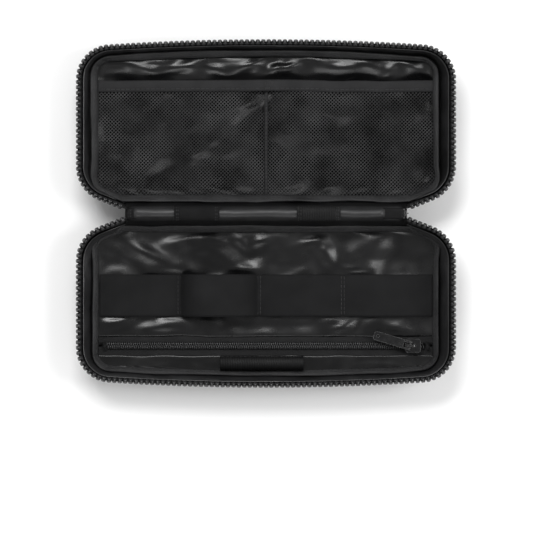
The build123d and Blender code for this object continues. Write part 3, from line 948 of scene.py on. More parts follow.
def make_teeth(half, side, seed, shift):
    """A row of teeth round the open rim; shift is a share of the pitch."""
    path = outline(1.6, 2.6)[OPEN_RING, :2]
    lengths = run_length(path)
    blocks = [(rounded_block(size, softness=0.36, cells=3), z) for size, z in TOOTH_BLOCKS]
    parts = Parts()
    random = np.random.RandomState(seed)
    for k in range(-80, 81):
        distance = lengths[-1] / 2 - (k + shift) * TOOTH_PITCH
        if not 0.6 <= distance <= lengths[-1] - 0.6:
            continue
        x, u = point_at(distance, lengths, path)
        if abs(x) < 85.0 and u < 40:
            continue
        run_x, run_u = (point_at(distance + 0.7, lengths, path)
                        - point_at(distance - 0.7, lengths, path))
        angle = math.atan2(side * run_u, run_x) + random.uniform(-0.035, 0.035)
        c, s = math.cos(angle), math.sin(angle)
        lift = random.uniform(-0.06, 0.06)
        for (points, faces), z in blocks:
            turned = points @ np.array([[c, s, 0], [-s, c, 0], [0, 0, 1]])
            parts.add(turned + (x, side * u, z + lift), faces)
    parts.make(half + "_rim_teeth", "teeth", half, [half + "_zip_teeth"])


for half, side, seed, shift, inner_node in (("base", BASE, 3, 0.0, "pocket_panel_upper"),
                                            ("lid", LID, 8, 0.5, "mesh_pocket_left")):
    make_cover(half, side, seed)
    make_foam(half, side)
    make_wall(half, side, seed + 50)
    make_binding(half, side, seed + 90, foot_z=box_mm(inner_node)[1][2] + 0.3)
    make_tape(half, side, seed + 120)
    make_teeth(half, side, seed + 150, shift)


# ---------------------------------------------------------------------------------------------
# base: floor, pocket panels, pocket zip, elastic band, pen loop
# ---------------------------------------------------------------------------------------------
PANEL_Z = box_mm("pocket_panel_upper")[1][2]           # top of the pocket panels
band_low, band_high = box_mm("cable_band")
BAND_U0, BAND_U1 = -band_high[1], -band_low[1]
seam_low, seam_high = box_mm("cable_band_stitching")
SEAMS = (seam_low[0] + 1.1, (seam_low[0] + seam_high[0]) / 2 - 1.2, seam_high[0] - 1.1)
zip_low, zip_high = box_mm("pocket_zip_tape_upper")
HEM = -zip_high[1]                                     # hem of the front panel
STRIP_HEM = -box_mm("pocket_zip_tape_lower")[0][1]     # hem of the strip by the far wall
coil_low, coil_high = box_mm("pocket_zip_coil_upper")
ZIP_U = -(coil_low[1] + box_mm("pocket_zip_coil_lower")[1][1]) / 2


def lining_sheet(name, x, u, z, thickness, key, body, nodes=()):
    side = BASE if body == "base" else LID
    sheet(name, placed(stacked(x, u, z), side), thickness, key, stacked(x, u) + 400.0, body,
          nodes)


def make_base_floor():
    x, u = panel_grid(11.3, 9.8, columns=41, rows=21)
    z = 4.75 + 0.1 * noise(x / 15, u / 15, 4)
    lining_sheet("base_lining_floor", x, u, z, 0.4, "wall", "base")


# x, u, half size along, half size across, height, angle
FRONT_FOLDS = (
    (35, 24, 9, 5.0, 2.6, 0.95), (27, 17, 8, 3.0, 1.5, -0.3), (-14, 18, 6, 3.2, 1.5, 0.9),
    (-27, 16, 5, 2.6, 1.2, 0.2), (-4, 17, 7, 2.5, 1.3, -0.35), (66, 24, 14, 4, 1.4, -0.2),
    (-72, 24, 13, 4.2, 1.4, 0.35), (-52, 17, 9, 2.6, 1.0, -0.2), (47, 68, 9, 3.0, 1.8, -0.5),
    (-64, 68, 13, 3, 1.1, -0.1), (80, 69, 9, 2.6, 1.2, 0.2))


def make_pocket_front():
    """Creased panel between the fold and the pocket zip, held down under the band."""
    x, u = panel_grid(12.0, 10.3, columns=147, rows=50, end_u=HEM + 0.1, near_end=6.9)
    for j, share in ((-1, 1.0), (-2, 0.7), (-3, 0.35)):
        u[j] += share * 0.55 * layered_noise(x[j] / 17, 0, 64)
    pin = edge_pins(x.shape, far_rows=3)
    in_band = (u > BAND_U0 - 0.5) & (u < BAND_U1 + 0.5)
    for seam in SEAMS:
        pin[in_band & (np.abs(x - seam) < 1.3)] = 1
    start = stacked(x, u, PANEL_Z - 0.1 + 0.30 * creases(x, u, 21, 26.0))
    points = settle_lining(start, pin, frames=26, limit=3.6, blur_x=26, blur_u=3, keep=1.5)
    z = points[..., 2]
    inside = np.minimum(np.minimum((102.5 - np.abs(x)) / 6, (u - 10) / 6), (HEM - u) / 5)
    inside = np.clip(inside, 0, 1)
    z = z + inside * (fine_creases(x, u, 61) + broad_folds(x, u, FRONT_FOLDS))
    z = z + 0.12 * bell(u - (HEM - 1.3), 1.1)
    z[-1] = PANEL_Z - 0.05
    z = np.clip(z, PANEL_Z - 1.9, PANEL_Z + 4.2)
    under = ease(BAND_U0 - 3.0, BAND_U0 - 0.4, u) * (1 - ease(BAND_U1 + 0.4, BAND_U1 + 3.0, u))
    z = z * (1 - under) + np.minimum(z, PANEL_Z + 0.1) * under
    x, u = points[..., 0], points[..., 1]
    lining_sheet("pocket_panel_front", x, u, z + 1.5 * corner_weight(x, u), 0.5, "lining",
                 "base", ["pocket_panel_upper"])


def make_pocket_strip():
    """Panel between the pocket zip and the far edge, narrowing with the far corners."""
    inset = 12.0
    across = np.linspace(-1, 1, 131)
    grid = np.zeros((12, 131, 2))
    wide = HALF_W - inset
    for row, share in zip(grid, np.linspace(0, 1, 12)):
        x = across * wide
        for _ in range(30):
            u = STRIP_HEM - 0.1 + share * (far_u_at(x, inset) - STRIP_HEM + 0.1)
            room = np.maximum(half_width_at(u, inset, 10.0, kinds=(3, 4, 5)), 60.0)
            room = room * np.minimum(1.0, np.abs(across) * 1.04)
            x = 0.5 * x + 0.5 * np.sign(across) * np.minimum(np.abs(across) * wide, room)
        row[:, 0] = x
        row[:, 1] = STRIP_HEM - 0.1 + share * (far_u_at(x, inset) - STRIP_HEM + 0.1)
    x, u = grid[..., 0], grid[..., 1]
    for j, share in ((0, 1.0), (1, 0.8), (2, 0.4)):
        u[j] += share * 0.6 * layered_noise(x[j] / 15, 0, 74)
    z = PANEL_Z + 0.6 * creases(x * 0.5, u, 71, 9.0) * np.clip((u - STRIP_HEM) / 2, 0, 1)
    z = z + 0.05 * bell(u - (STRIP_HEM + 1.2), 1.0)
    z[0] = PANEL_Z - 0.05
    z = np.clip(z, PANEL_Z - 1.0, PANEL_Z + 0.9)
    lining_sheet("pocket_panel_strip", x, u, z, 0.5, "lining", "base", ["pocket_panel_lower"])


def make_pocket_tape(name, u0, u1, seed):
    xs = np.linspace(zip_low[0] - 2.6, zip_high[0] + 2.6, 120)
    us = np.linspace(u0, u1, 5)
    x, u = np.meshgrid(xs, us)
    points = stacked(x, u, PANEL_Z - 0.25 + 0.08 * noise(x / 14, u / 14, seed))
    sheet("pocket_tape_" + name, placed(points, BASE), 0.5, "tape", uv_grid(xs + 400, us - u0),
          "base", ["pocket_zip_tape_" + name])


def make_coil(name, away, shift):
    """Nylon coil: bent loops over a tape edge. away is the u direction from the zip's middle."""
    parts = Parts()
    pitch = 1.3
    length = coil_high[0] - coil_low[0]
    inner, outer = ZIP_U - away * 0.28, ZIP_U + away * 2.1
    # x, u, height of the loop's centre line above the panel
    path = np.array([(-0.12, outer, 0.60), (-0.1, outer - away * 0.35, 1.15),
                     (0, (inner + outer) / 2, 1.27), (0, inner + away * 0.3, 1.15),
                     (0, inner, 0.75)]) + (0, 0, PANEL_Z)
    run = path[[1, 2, 3, 4, 4]] - path[[0, 0, 1, 2, 3]]
    run /= np.linalg.norm(run, axis=1, keepdims=True)
    across = np.array([1.0, 0, 0])
    up = np.cross(run, across)
    up /= np.linalg.norm(up, axis=1, keepdims=True)
    widths = (0.40, 0.40, 0.40, 0.40, 0.46)
    heights = (0.27, 0.36, 0.36, 0.36, 0.27)
    points, faces = tube(path, across, up, widths, heights, sides=6)
    for k in range(int(length / pitch)):
        x = coil_low[0] + (k + 0.25 + shift) * pitch
        parts.add(placed(points + (x, 0, 0), BASE), faces)
    # threads over the coil
    for k in range(int(length / 2.6)):
        x = coil_low[0] + (k + 0.5) * 2.6
        y, z = BASE * (ZIP_U + away * 1.25), PANEL_Z + 1.32
        parts.stitch((x - 1.0, y, z), (x + 1.0, y, z), radius=0.16)
    parts.make("pocket_coil_row_" + name, "coil", "base", ["pocket_zip_coil_" + name], fix=True)


def make_end_tacks():
    """Soft blocks with threads over them, at both ends of the pocket zip."""
    parts = Parts()
    low, high = box_mm("pocket_zip_stops")
    for x in (low[0] + 1.2, high[0] - 1.2):
        points, faces = rounded_block((2.3, 5.2, 1.7), softness=0.3, cells=4)
        parts.add(points + (x, BASE * ZIP_U, PANEL_Z + 0.9), faces)
        for k in range(4):
            for away in (-1, 1):
                y, z = BASE * (ZIP_U + away * (0.7 + 0.5 * k)), PANEL_Z + 1.82
                parts.stitch((x - 1.3, y, z), (x + 1.3, y, z), radius=0.2)
    parts.make("pocket_zip_end_tacks", "tape", "base", ["pocket_zip_stops"], fix=True)


def make_band():
    """Elastic band: one strip, sewn flat at the seams, its second loop standing up."""
    band_z = PANEL_Z + 0.55
    edges = [band_low[0], *SEAMS, band_high[0]]
    # rise and number of columns of each loop
    loops = ((1.5, 60), (band_high[2] - band_z - 1.5, 96), (1.7, 60), (1.4, 60))
    xs = np.concatenate([np.linspace(edges[i], edges[i + 1], columns, endpoint=False)
                         for i, (_, columns) in enumerate(loops)] + [[edges[-1]]])
    lift = np.zeros(len(xs))
    for i, (rise, _) in enumerate(loops):
        start, end = edges[i] + 1.3, edges[i + 1] - 1.3
        free = (xs > start) & (xs < end)
        t = (xs[free] - start) / (end - start)
        if i == 1:
            lift[free] = rise * (1 - np.abs(2 * t - 1) ** 3.4) ** 0.9
        else:
            lift[free] = rise * np.sin(np.pi * t) ** 0.75
    blur(lift, 3)
    x, u = np.meshgrid(xs, np.linspace(BAND_U0, BAND_U1, 17))
    pinch = sum(bell(xs - seam, 1.6) for seam in SEAMS)
    middle = (BAND_U0 + BAND_U1) / 2
    u = middle + (u - middle) * (1 - 0.012 * pinch + 0.004 * noise(x / 23, 0, 14))
    z = band_z + lift + 0.10 * noise(x / 16, u / 30, 15) - 0.22 * pinch
    offset = (u - middle) / (BAND_U1 - BAND_U0) * 2
    tall = ease(edges[1], edges[1] + 8, xs) * (1 - ease(edges[2] - 8, edges[2], xs))
    z = z - 0.25 * np.abs(offset) ** 4 - 0.5 * tall * offset ** 2
    uv = stacked(run_length(np.column_stack([xs, lift])), u - BAND_U0)
    sheet("cable_band_elastic", placed(stacked(x, u, z), BASE), 1.0, "band", uv, "base",
          ["cable_band"])
    parts = Parts()
    for seam in SEAMS:
        for x in (seam - 0.85, seam + 0.85):
            for k in range(9):
                u, z = BAND_U0 + 1.0 + k * 2.62, band_z + 0.36
                parts.stitch((x, BASE * u, z), (x + 0.05, BASE * (u + 2.05), z),
                             radius=0.23, sides=6, flat=0.8)
    parts.make("cable_band_threads", "thread", "base", ["cable_band_stitching"])


def make_pen_loop():
    """Ribbed elastic arch on the strip by the far wall."""
    low, high = box_mm("pen_loop")
    x0, x1 = low[0], high[0]
    u0, u1 = -high[1], -low[1]
    middle, radius = (u0 + u1) / 2, (u1 - u0) / 2 - 0.45
    centre_z = high[2] - 0.5 - radius
    foot = ((radius + 0.5, 0.9), (radius + 0.05, 1.3), (radius, 2.4))  # from the middle, above panel
    angles = np.radians(np.linspace(180, 0, 15))
    profile = [(middle - offset, PANEL_Z + z) for offset, z in foot]
    profile += [(middle + radius * math.cos(a), centre_z + radius * math.sin(a)) for a in angles]
    profile += [(middle + offset, PANEL_Z + z) for offset, z in foot[::-1]]
    profile = np.array(profile)
    xs = np.linspace(x0, x1, 241)
    sag = 0.35 * noise(xs / 13, 0, 81) + 0.5 * bell(xs - x0, 3) + 0.5 * bell(xs - x1, 3)
    height = np.clip((profile[:, 1:] - PANEL_Z - 2) / 5, 0, 1)
    rib = 0.13 * np.abs(np.sin(math.pi * (xs - x0) / 1.47))
    out = profile - (middle, centre_z)
    out /= np.linalg.norm(out, axis=1, keepdims=True)
    push = rib - 0.06 - height * sag * 0.6
    points = stacked(xs, profile[:, :1] + out[:, :1] * push, profile[:, 1:] + out[:, 1:] * push)
    sheet("pen_loop_elastic", placed(points, BASE), 0.7, "ribbed",
          uv_grid(xs + 200, run_length(profile)), "base", ["pen_loop"])
    parts = Parts()
    for u in (middle - radius - 0.35, middle + radius + 0.35):
        for k in range(18):
            x, z = x0 + 0.6 + k * 2.72, PANEL_Z + 1.38
            parts.stitch((x, BASE * u, z), (x + 2.1, BASE * u, z), radius=0.2, sides=6)
    parts.make("pen_loop_threads", "thread", "base")


make_base_floor()
make_pocket_front()
make_pocket_strip()
make_pocket_tape("upper", HEM - 2.5, ZIP_U - 0.55, seed=31)
make_pocket_tape("lower", ZIP_U + 0.55, STRIP_HEM + 2.0, seed=32)
make_coil("upper", away=-1, shift=0.0)
make_coil("lower", away=1, shift=0.5)
make_end_tacks()
make_band()
make_pen_loop()

# ---------------------------------------------------------------------------------------------
# lid: creased floor lining, two mesh pockets, elastic edge, divider stitching
# ---------------------------------------------------------------------------------------------
net_low, net_high = box_mm("mesh_pocket_left")
NET_Z = (net_low[2] + net_high[2]) / 2
NET_SIDE = 0.6 - net_low[0]                # outer edge of the nets
EDGE_LOW, EDGE_HIGH = box_mm("mesh_pocket_elastic")
EDGE_U0, EDGE_U1 = EDGE_LOW[1], EDGE_HIGH[1]

# x, u, half size along, half size across, height, angle
LID_FOLDS = (
    (-72, 87, 10, 2.4, 1.6, -0.25), (-52, 88, 12, 2.6, 1.8, 0.12), (-30, 87, 8, 2.8, 2.0, -0.3),
    (-10, 89, 7, 2.2, 1.8, 0.3), (6, 87, 6, 2.6, 1.8, 0.75), (14, 88, 9, 2.4, 1.6, 0.5),
    (48, 88, 12, 2.6, 1.2, 0.15), (74, 86, 7, 2.6, 1.6, 0.8), (88, 88, 7, 2.6, 1.4, -0.5))


def make_lid_floor():
    """Creased lining, low under the nets and rising beyond them."""
    x, u = panel_grid(11.6, 10.0, columns=147, rows=64)
    start = stacked(x, u, 5.9 + 0.30 * creases(x, u, 121, 24.0))
    points = settle_lining(start, edge_pins(x.shape), frames=24, limit=3.0, blur_x=16,
                           blur_u=2, keep=1.4)
    inside = np.minimum((102.0 - np.abs(x)) / 5, (u - 10) / 6)
    inside = np.clip(np.minimum(inside, (far_u_at(x, 11.6) - u) / 3.5), 0, 1)
    z = points[..., 2] + inside * (fine_creases(x, u, 161) + broad_folds(x, u, LID_FOLDS))
    z = z + ease(78, 90, u) * 3.2 * np.clip(inside + 0.3, 0, 1) + (1 - inside) * 1.5
    z = np.clip(z, 4.7, 11.5)
    under = 1 - ease(80.5, 83.5, u)
    z = z * (1 - under) + np.minimum(z, NET_Z - 1.6) * under
    lining_sheet("lid_lining_floor", points[..., 0], points[..., 1], z, 0.5, "lid_lining", "lid")


def net_surface(x0, x1, seed):
    """Height function of a slack net; the net's inner edge is the one near x = 0."""
    rows, columns = 34, 50
    u0, u1 = 10.2, EDGE_U0 + 1.4
    x, u = np.meshgrid(np.linspace(x0, x1, columns), np.linspace(u0, u1, rows))
    inner, outer = (x0, x1) if abs(x0) < 5 else (x1, x0)
    dip = np.exp(-(np.abs(x - inner) / 7.0) ** 1.4)
    start = stacked(x, u, NET_Z + 0.35 * noise(x / 22, u / 22, seed) - 1.9 * dip)
    z = settle(start, edge_pins(x.shape, far_rows=2), grow=0.035, frames=22, bend=0.15,
               tension=6, limit=3.2)[..., 2]
    across = np.clip((x - x0) / (x1 - x0), 0, 1)
    along = np.clip((u - u0) / (u1 - u0), 0, 1)
    # soft belly, and folds that run into three of the corners
    belly = np.sin(math.pi * across) ** 0.8 * np.sin(math.pi * along) ** 0.7
    folds = 0
    for corner_x, corner_u, height, rate, phase in ((outer, u0, 0.55, 5.0, 0.3),
                                                    (inner, u0, 0.5, 4.0, 1.2),
                                                    (inner, u1, 0.35, 4.5, 2.0)):
        radius = np.hypot(x - corner_x, u - corner_u)
        angle = np.arctan2(u - corner_u, x - corner_x)
        turn = angle * rate * 2.1 + phase + 0.5 * noise(radius / 30, angle, seed + 3)
        folds = folds + height * np.sin(turn) * bell(radius - 24, 20)
    z = z + belly * (1.1 + 0.7 * noise(x / 30, u / 24, seed + 5))
    z = z + folds * np.clip(belly * 2, 0, 1)
    z = np.clip(z, NET_Z - 2.6, NET_Z + 5.0) + 0.9 * corner_weight(x, u)

    def height_at(x, u):
        column = np.clip((x - x0) / (x1 - x0) * (columns - 1), 0, columns - 1.001)
        row = np.clip((u - u0) / (u1 - u0) * (rows - 1), 0, rows - 1.001)
        i, j = column.astype(int), row.astype(int)
        a, b = column - i, row - j
        low = z[j, i] * (1 - a) + z[j, i + 1] * a
        high = z[j + 1, i] * (1 - a) + z[j + 1, i + 1] * a
        return low * (1 - b) + high * b

    return height_at, u0, u1


def make_net(name, x0, x1, seed, node):
    """Net of two crossing sets of diagonal strands, open at the strand ends."""
    height_at, u0, u1 = net_surface(x0, x1, seed)
    pitch = 2.15
    half_width, half_height = 0.22, 0.18
    count = int((x1 - x0 + u1 - u0) / pitch) + 4
    first, second = np.meshgrid(np.arange(-count, count), np.arange(-count, count),
                                indexing="ij")
    first, second = first.ravel(), second.ravel()

    def knot(a, b):
        x = (x0 + x1) / 2 + (a + b) * pitch / 2
        u = (u0 + u1) / 2 + (a - b) * pitch / 2
        return (x + 0.10 * noise(x / 5, u / 5, seed + 11),
                u + 0.10 * noise(x / 5, u / 5, seed + 12))

    def inside(x, u):
        width = half_width_at(u, two_insets(11.4, 6.6), 9.8)
        return (x > x0) & (x < x1) & (u > u0) & (u < u1) & (np.abs(x) < width)

    points, faces, total = [], [], 0
    for step_a, step_b, lift in ((1, 0, 0.10), (0, 1, -0.10)):
        start_x, start_u = knot(first, second)
        end_x, end_u = knot(first + step_a, second + step_b)
        kept = inside(start_x, start_u) & inside(end_x, end_u)
        start, end = (stacked(x[kept], u[kept], height_at(x[kept], u[kept]) + lift)
                      for x, u in ((start_x, start_u), (end_x, end_u)))
        run = end - start
        run /= np.linalg.norm(run, axis=1, keepdims=True)
        across = np.cross(run, np.array([0, 0, 1.0]))
        across /= np.linalg.norm(across, axis=1, keepdims=True)
        up = np.cross(across, run)
        corners = []
        for point in (start - run * 0.10, end + run * 0.10):
            corners += [point + across * half_width, point + up * half_height,
                        point - across * half_width, point - up * half_height]
        points.append(np.stack(corners, 1).reshape(-1, 3))
        offsets = total + np.arange(len(start))[:, None] * 8
        for q in range(4):
            after = (q + 1) % 4
            faces += (offsets + np.array([[q, after, 4 + after, 4 + q]])).tolist()
        total += len(start) * 8
    points = np.concatenate(points)
    ob = add_mesh(name, points, [tuple(f) for f in faces], MATERIALS["mesh"], points[:, :2])
    attach(ob, "lid", [node])
    return height_at


def make_net_edge():
    """Elastic along the far edge of both nets, with a raised lap near the middle."""
    xs = np.linspace(EDGE_LOW[0] + 0.6, EDGE_HIGH[0] - 0.6, 260)
    x, u = np.meshgrid(xs, np.linspace(EDGE_U0, EDGE_U1, 9))
    fade = np.clip((102 - np.abs(xs)) / 12, 0, 1)
    wave = (0.55 * layered_noise(xs / 30, 0, 301) + 0.18 * noise(xs / 6, 0, 303)) * fade
    bow = (0.5 * noise(xs / 60, 0, 305) + 0.22 * noise(xs / 14, 0, 306)) * fade
    across = (u - (EDGE_U0 + EDGE_U1) / 2) / ((EDGE_U1 - EDGE_U0) / 2)
    z = NET_Z + 0.25 + wave * (0.8 + 0.3 * across) + 0.32 * (1 - np.abs(across) ** 3)
    z = z + 0.45 * np.exp(-((xs - 1.6) / 1.5) ** 4)
    z = z - 0.12 * bell(u - (EDGE_U0 + 1.5), 0.35)     # groove under the stitches
    u = u + bow
    sheet("mesh_edge_elastic", stacked(x, u, z), 1.35, "edge", stacked(x + 300, u - EDGE_U0),
          "lid", ["mesh_pocket_elastic"])
    parts = Parts()
    for k in range(int((xs[-1] - xs[0] - 4) / 3.0)):
        start = xs[0] + 2 + k * 3.0
        ends = [(x, EDGE_U0 + 1.5 + np.interp(x, xs, bow), np.interp(x, xs, z[2]) + 0.72)
                for x in (start, start + 2.2)]
        parts.stitch(*ends, radius=0.22, sides=6)
    for x in (-0.5, 1.9, 3.5):                         # cross stitches at the lap
        top = np.interp(x, xs, z[4]) + 0.74
        for u in (EDGE_U0 + 0.8, EDGE_U0 + 3.5):
            parts.stitch((x, u, top), (x, u + 2.1, top), radius=0.22, sides=6)
    parts.make("mesh_edge_threads", "thread", "lid")


def make_divider(left_height, right_height):
    """Narrow tape and a row of stitches between the nets."""
    us = np.linspace(10.8, EDGE_U0 + 0.8, 60)
    top = np.maximum(left_height(np.full(60, -0.9), us), right_height(np.full(60, 0.9), us))
    blur(top, 3)
    x, u = np.meshgrid(np.linspace(-1.0, 1.0, 5), us)
    sheet("mesh_divider_tape", stacked(x, u, top[:, None] + 0.42), 0.4, "edge",
          stacked(u, x + 1), "lid")
    parts = Parts()
    for k in range(21):
        u = 12.0 + k * 2.95
        if u + 2.2 > EDGE_U0:
            break
        parts.stitch((0, u, np.interp(u, us, top) + 0.72),
                     (0.06, u + 2.2, np.interp(u + 2.2, us, top) + 0.72), radius=0.24, sides=6)
    parts.make("mesh_divider_threads", "thread", "lid", ["mesh_divider_stitching"])


make_lid_floor()
left_height = make_net("mesh_net_left", -NET_SIDE, -0.5, 201, "mesh_pocket_left")
right_height = make_net("mesh_net_right", 0.5, NET_SIDE, 231, "mesh_pocket_right")
make_net_edge()
make_divider(left_height, right_height)

# ---------------------------------------------------------------------------------------------
# the fold: lining over the rolled seam inside, cover cloth outside, straps, end tabs
# ---------------------------------------------------------------------------------------------
# distance from the fold, z
INNER_PROFILE = (
    (10.3, 8.4), (8.9, 9.4), (7.6, 11.0), (6.6, 12.9), (5.8, 15.0), (5.1, 17.1), (4.5, 19.2),
    (3.9, 21.2), (3.25, 22.9), (2.75, 24.0), (2.45, 24.8), (2.1, 25.5), (1.6, 26.05),
    (1.0, 26.4), (0.5, 26.55))
OUTER_PROFILE = (
    (4.6, 10.4), (4.15, 12.4), (3.6, 14.2), (3.05, 15.8), (2.6, 17.2), (2.2, 18.3),
    (1.85, 19.2), (1.55, 19.85), (1.25, 20.35), (0.95, 20.75), (0.65, 21.0), (0.32, 21.15))


def fold_profile(half_profile, ridge_z):
    """Columns y, z, |y|, the side and the length run, over the ridge from -Y to +Y."""
    profile = np.array([(-y, z) for y, z in half_profile] + [(0.0, ridge_z)]
                       + list(half_profile[::-1]))
    y, z = profile[:, :1], profile[:, 1:]
    return y, z, np.abs(y), np.sign(y), run_length(profile)[:, None]


def fold_blend(reach):
    """The base, the lid and the span y = -reach..reach (metres); attach only bakes the transform for
    it.
    """
    return "base", "lid", (0, -reach, RIM_Z * MM), (0, reach, RIM_Z * MM)


def make_fold_inner():
    xs = np.linspace(-84.5, 84.5, 221)
    y, z, away, side, length = fold_profile(INNER_PROFILE, 26.6)
    slope = ease(2.2, 5.0, away) * (1 - ease(8.5, 10.2, away))
    ridge = 1 - ease(2.4, 4.0, away)
    small = creases(xs * 0.6, length + 160, 402, 7.0)
    push = slope * (0.5 * creases(xs * 0.8, length + 60, 401, 12.0) + 0.25 * small)
    wobble = 0.30 * noise(xs / 16, 0, 411) + 0.16 * noise(xs / 6, length / 3, 412)
    y = y + ridge * 0.28 * noise(xs / 19, 0, 413) + side * push
    z = z + ridge * wobble + slope * 0.25 * small
    # the roll flattens into the end tabs, and the lining drops away past the ends
    end = ease(ROLL_HIGH[0] - 1.0, ROLL_HIGH[0] + 3.0, xs)
    end = end + (1 - ease(ROLL_LOW[0] - 3.5, ROLL_LOW[0] + 0.5, xs))
    z = np.where(away < 4.6, z - end * np.clip(z - 22.6, 0, 9) * 0.80, z)
    past = ease(78.5, 84.5, np.abs(xs))
    z = z - past * (1 - ease(4.0, 8.0, away)) * np.clip(z - 17.0, 0, 9) * 0.8
    sheet("fold_inner_cover", stacked(xs, y, z), 0.5, "fold_lining",
          stacked(xs + 200, length), fold_blend(0.0028), ["fold_roll"])


def make_fold_outer():
    xs = np.linspace(-82.6, 82.6, 221)
    y, z, away, side, length = fold_profile(OUTER_PROFILE, 21.2)
    amount = ease(1.6, 2.6, away) * (1 - ease(3.9, 4.6, away))
    wobble = 0.35 * noise(xs / 13, length / 6, 421) + 0.18 * noise(xs / 5, length / 4, 422)
    sheet("fold_outer_cover", stacked(xs, y + side * amount * wobble, z), 0.7, "outer",
          stacked(xs + 200, length), fold_blend(0.0018), ["base_fold_flap", "lid_fold_flap"])


def make_strap(kind, key, thickness, columns, seed):
    """Strip laid along the ridge, bowed over it, its two ends sewn down."""
    node = "fold_loop_" + kind
    low, high = box_mm(node)
    x0, x1 = low[0], high[0]
    rows = 15
    xs = np.linspace(x0, x1, columns)
    angle = np.radians(np.linspace(166, 14, rows))[:, None]
    share = (xs - x0) / (x1 - x0)
    lift = ease(0, 0.16, np.minimum(share, 1 - share))
    height = 3.35 + 1.25 * lift + 0.12 * noise(xs / 7, 0, seed)
    if kind == "ribbed":
        relief = 0.13 * np.abs(np.sin(math.pi * (xs - x0) / 1.45))
    else:
        relief = 0.03 * noise(xs / 2, np.arange(rows)[:, None], seed)
    y = (4.55 + relief) * np.sign(np.cos(angle)) * np.abs(np.cos(angle)) ** 0.85
    z = RIM_Z - 0.3 + (height + relief) * np.sin(angle) ** 0.8
    points = stacked(xs, y, z)
    name = "fold_strap_" + kind
    sheet(name, points, thickness, key, uv_grid(xs + 200, np.linspace(0, 13, rows)), "fold",
          [node])
    parts = Parts()
    for x in (x0 + 1.2, x0 + 2.3, x1 - 1.2, x1 - 2.3):
        i = int(round((x - x0) / (x1 - x0) * (columns - 1)))
        for j in range(2, rows - 3, 2):
            start, end = points[j, i], points[j + 1, i] * 0.75 + points[j + 2, i] * 0.25
            normal = np.array([0, start[1], start[2] - RIM_Z + 0.5])
            normal /= np.linalg.norm(normal)
            raise_by = normal * (thickness / 2 + 0.14)
            parts.stitch(start + raise_by, end + raise_by, radius=0.2, flat=0.8, up=normal)
    parts.make(name + "_threads", "thread", "fold")


def make_tab(name, seed):
    """Flat tab at one end of the fold, stitched across both its ends."""
    node = "fold_end_tab_" + name
    low, high = box_mm(node)
    ys = np.linspace(low[1] + 0.1, high[1] - 0.1, 11)
    x, y = np.meshgrid(np.linspace(low[0] + 0.1, high[0] - 0.1, 25), ys)
    z = (high[2] - 0.75) - 0.9 * np.abs(y / high[1]) ** 3 + 0.12 * noise(x / 4, y / 4, seed)
    sheet("fold_tab_" + name, stacked(x, y, z), 0.7, "webbing", stacked(x + 200, y + 10),
          "fold", [node])
    parts = Parts()
    for x in (low[0] + 0.9, high[0] - 0.9):
        for k in range(3):
            y = low[1] + 1.0 + k * 1.7
            top = float(np.interp(y + 0.6, ys, z[:, 12])) + 0.46
            parts.stitch((x, y, top), (x, y + 1.2, top), radius=0.18)
    parts.make("fold_tab_" + name + "_threads", "thread", "fold")


make_fold_inner()
make_fold_outer()
make_strap("plain", "webbing", thickness=0.8, columns=81, seed=501)
make_strap("ribbed", "ribbed", thickness=0.75, columns=161, seed=502)
make_tab("left", seed=511)
make_tab("right", seed=512)


# ---------------------------------------------------------------------------------------------
# the hard pieces keep their CAD shape, with softened edges
# ---------------------------------------------------------------------------------------------
def soften_edges(node, key, width):
    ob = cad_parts[node]
    ob.data.materials.clear()
    ob.data.materials.append(MATERIALS[key])
    bevel = ob.modifiers.new("soft_edges", "BEVEL")
    bevel.width = width * MM
    bevel.segments = 3
    bevel.limit_method = "ANGLE"
    bevel.angle_limit = math.radians(35)
    shade_smooth(ob.data)
    ob.modifiers.new("wn", "WEIGHTED_NORMAL")


soften_edges("pocket_slider", "slider", width=0.28)
soften_edges("pocket_puller", "puller", width=0.30)
soften_edges("main_slider", "slider", width=0.25)
soften_edges("main_puller", "puller", width=0.25)

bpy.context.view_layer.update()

# ---------------------------------------------------------------------------------------------
# stage: pale floor, soft light, camera straight above. Lights and camera are in metres.
# ---------------------------------------------------------------------------------------------
scene = bpy.context.scene


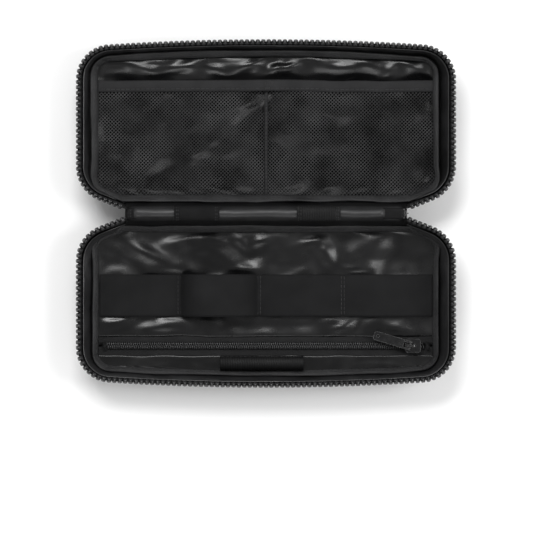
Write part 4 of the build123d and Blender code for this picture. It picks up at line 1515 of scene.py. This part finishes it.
def make_floor():
    material, shader, inputs, surface = new_material("stage_floor")
    place = shader.coordinates("Object")
    cloud = shader.noise(place, scale=6.0, detail=2.0)
    shader.feed(inputs["Base Color"], shader.mix(cloud, (0.90, 0.90, 0.90), (0.93, 0.93, 0.93)))
    shader.feed(inputs["Roughness"], 0.9)
    shader.feed(inputs["Specular IOR Level"], 0.1)
    # far from the pouch the floor fades to an even glow, for the camera only
    distance = shader.node("ShaderNodeVectorMath", operation="LENGTH")
    shader.feed(distance.inputs[0], place)
    fade = shader.ramp(distance.outputs["Value"], span=(0.35, 0.95), interpolation="SMOOTHSTEP")
    camera_ray = shader.node("ShaderNodeLightPath").outputs["Is Camera Ray"]
    glow = shader.node("ShaderNodeEmission")
    shader.feed(glow.inputs["Strength"], 0.95)
    both = shader.node("ShaderNodeMixShader")
    shader.feed(both.inputs[0], shader.math("MULTIPLY", fade, camera_ray))
    shader.feed(both.inputs[1], surface)
    shader.feed(both.inputs[2], glow.outputs[0])
    output = next(n for n in shader.tree.nodes if n.type == "OUTPUT_MATERIAL")
    shader.feed(output.inputs["Surface"], both.outputs[0])
    reach, z = 20000, -0.05
    corners = [(-reach, -reach, z), (reach, -reach, z), (reach, reach, z), (-reach, reach, z)]
    add_mesh("stage_floor", corners, [(0, 1, 2, 3)], material)


def make_world():
    """Soft room: brighter towards the horizon, dimmer straight above."""
    scene.world = bpy.data.worlds.new("studio")
    scene.world.use_nodes = True
    shader = Shader(scene.world.node_tree)
    background = shader.tree.nodes["Background"].inputs
    up = shader.separate(shader.coordinates("Generated"))[2]
    shader.feed(background["Strength"],
                shader.ramp(up, span=(0.15, 0.95), result=(0.95, 0.27)))
    shader.feed(background["Color"], (1.0, 1.0, 1.0))


def add_area_light(name, location, size_x, size_y, power):
    """Rectangular light aimed at the origin."""
    light = bpy.data.lights.new(name, "AREA")
    light.shape = "RECTANGLE"
    light.size, light.size_y = size_x, size_y
    light.energy = power
    ob = bpy.data.objects.new(name, light)
    scene.collection.objects.link(ob)
    ob.location = location
    ob.rotation_mode = "QUATERNION"
    ob.rotation_quaternion = (-Vector(location)).to_track_quat("-Z", "Y")
    ob.visible_camera = False


def add_camera():
    """Looks straight down; the view is 0.330 m wide at 0.02 m above the floor."""
    height = 3.0
    data = bpy.data.cameras.new("camera")
    camera = bpy.data.objects.new("camera", data)
    scene.collection.objects.link(camera)
    data.sensor_width = 36.0
    data.lens = data.sensor_width * (height - 0.02) / 0.330
    data.clip_start, data.clip_end = 0.05, 50.0
    camera.location = (0.0054, -0.0369, height)
    scene.camera = camera


make_floor()
scene.view_settings.view_transform = "Standard"
scene.view_settings.look = "None"
make_world()
add_area_light("key_back", (-0.30, 0.80, 1.20), size_x=0.9, size_y=0.45, power=15.0)
add_area_light("key_right", (1.00, 0.05, 0.95), size_x=0.5, size_y=0.8, power=9.0)
add_area_light("fill_front", (-0.25, -1.15, 0.75), size_x=0.9, size_y=0.4, power=3.0)
scene.cycles.max_bounces = 4
scene.cycles.diffuse_bounces = 3
scene.cycles.glossy_bounces = 2
scene.cycles.transmission_bounces = 0
scene.cycles.transparent_max_bounces = 2
scene.cycles.caustics_reflective = False
scene.cycles.caustics_refractive = False
add_camera()
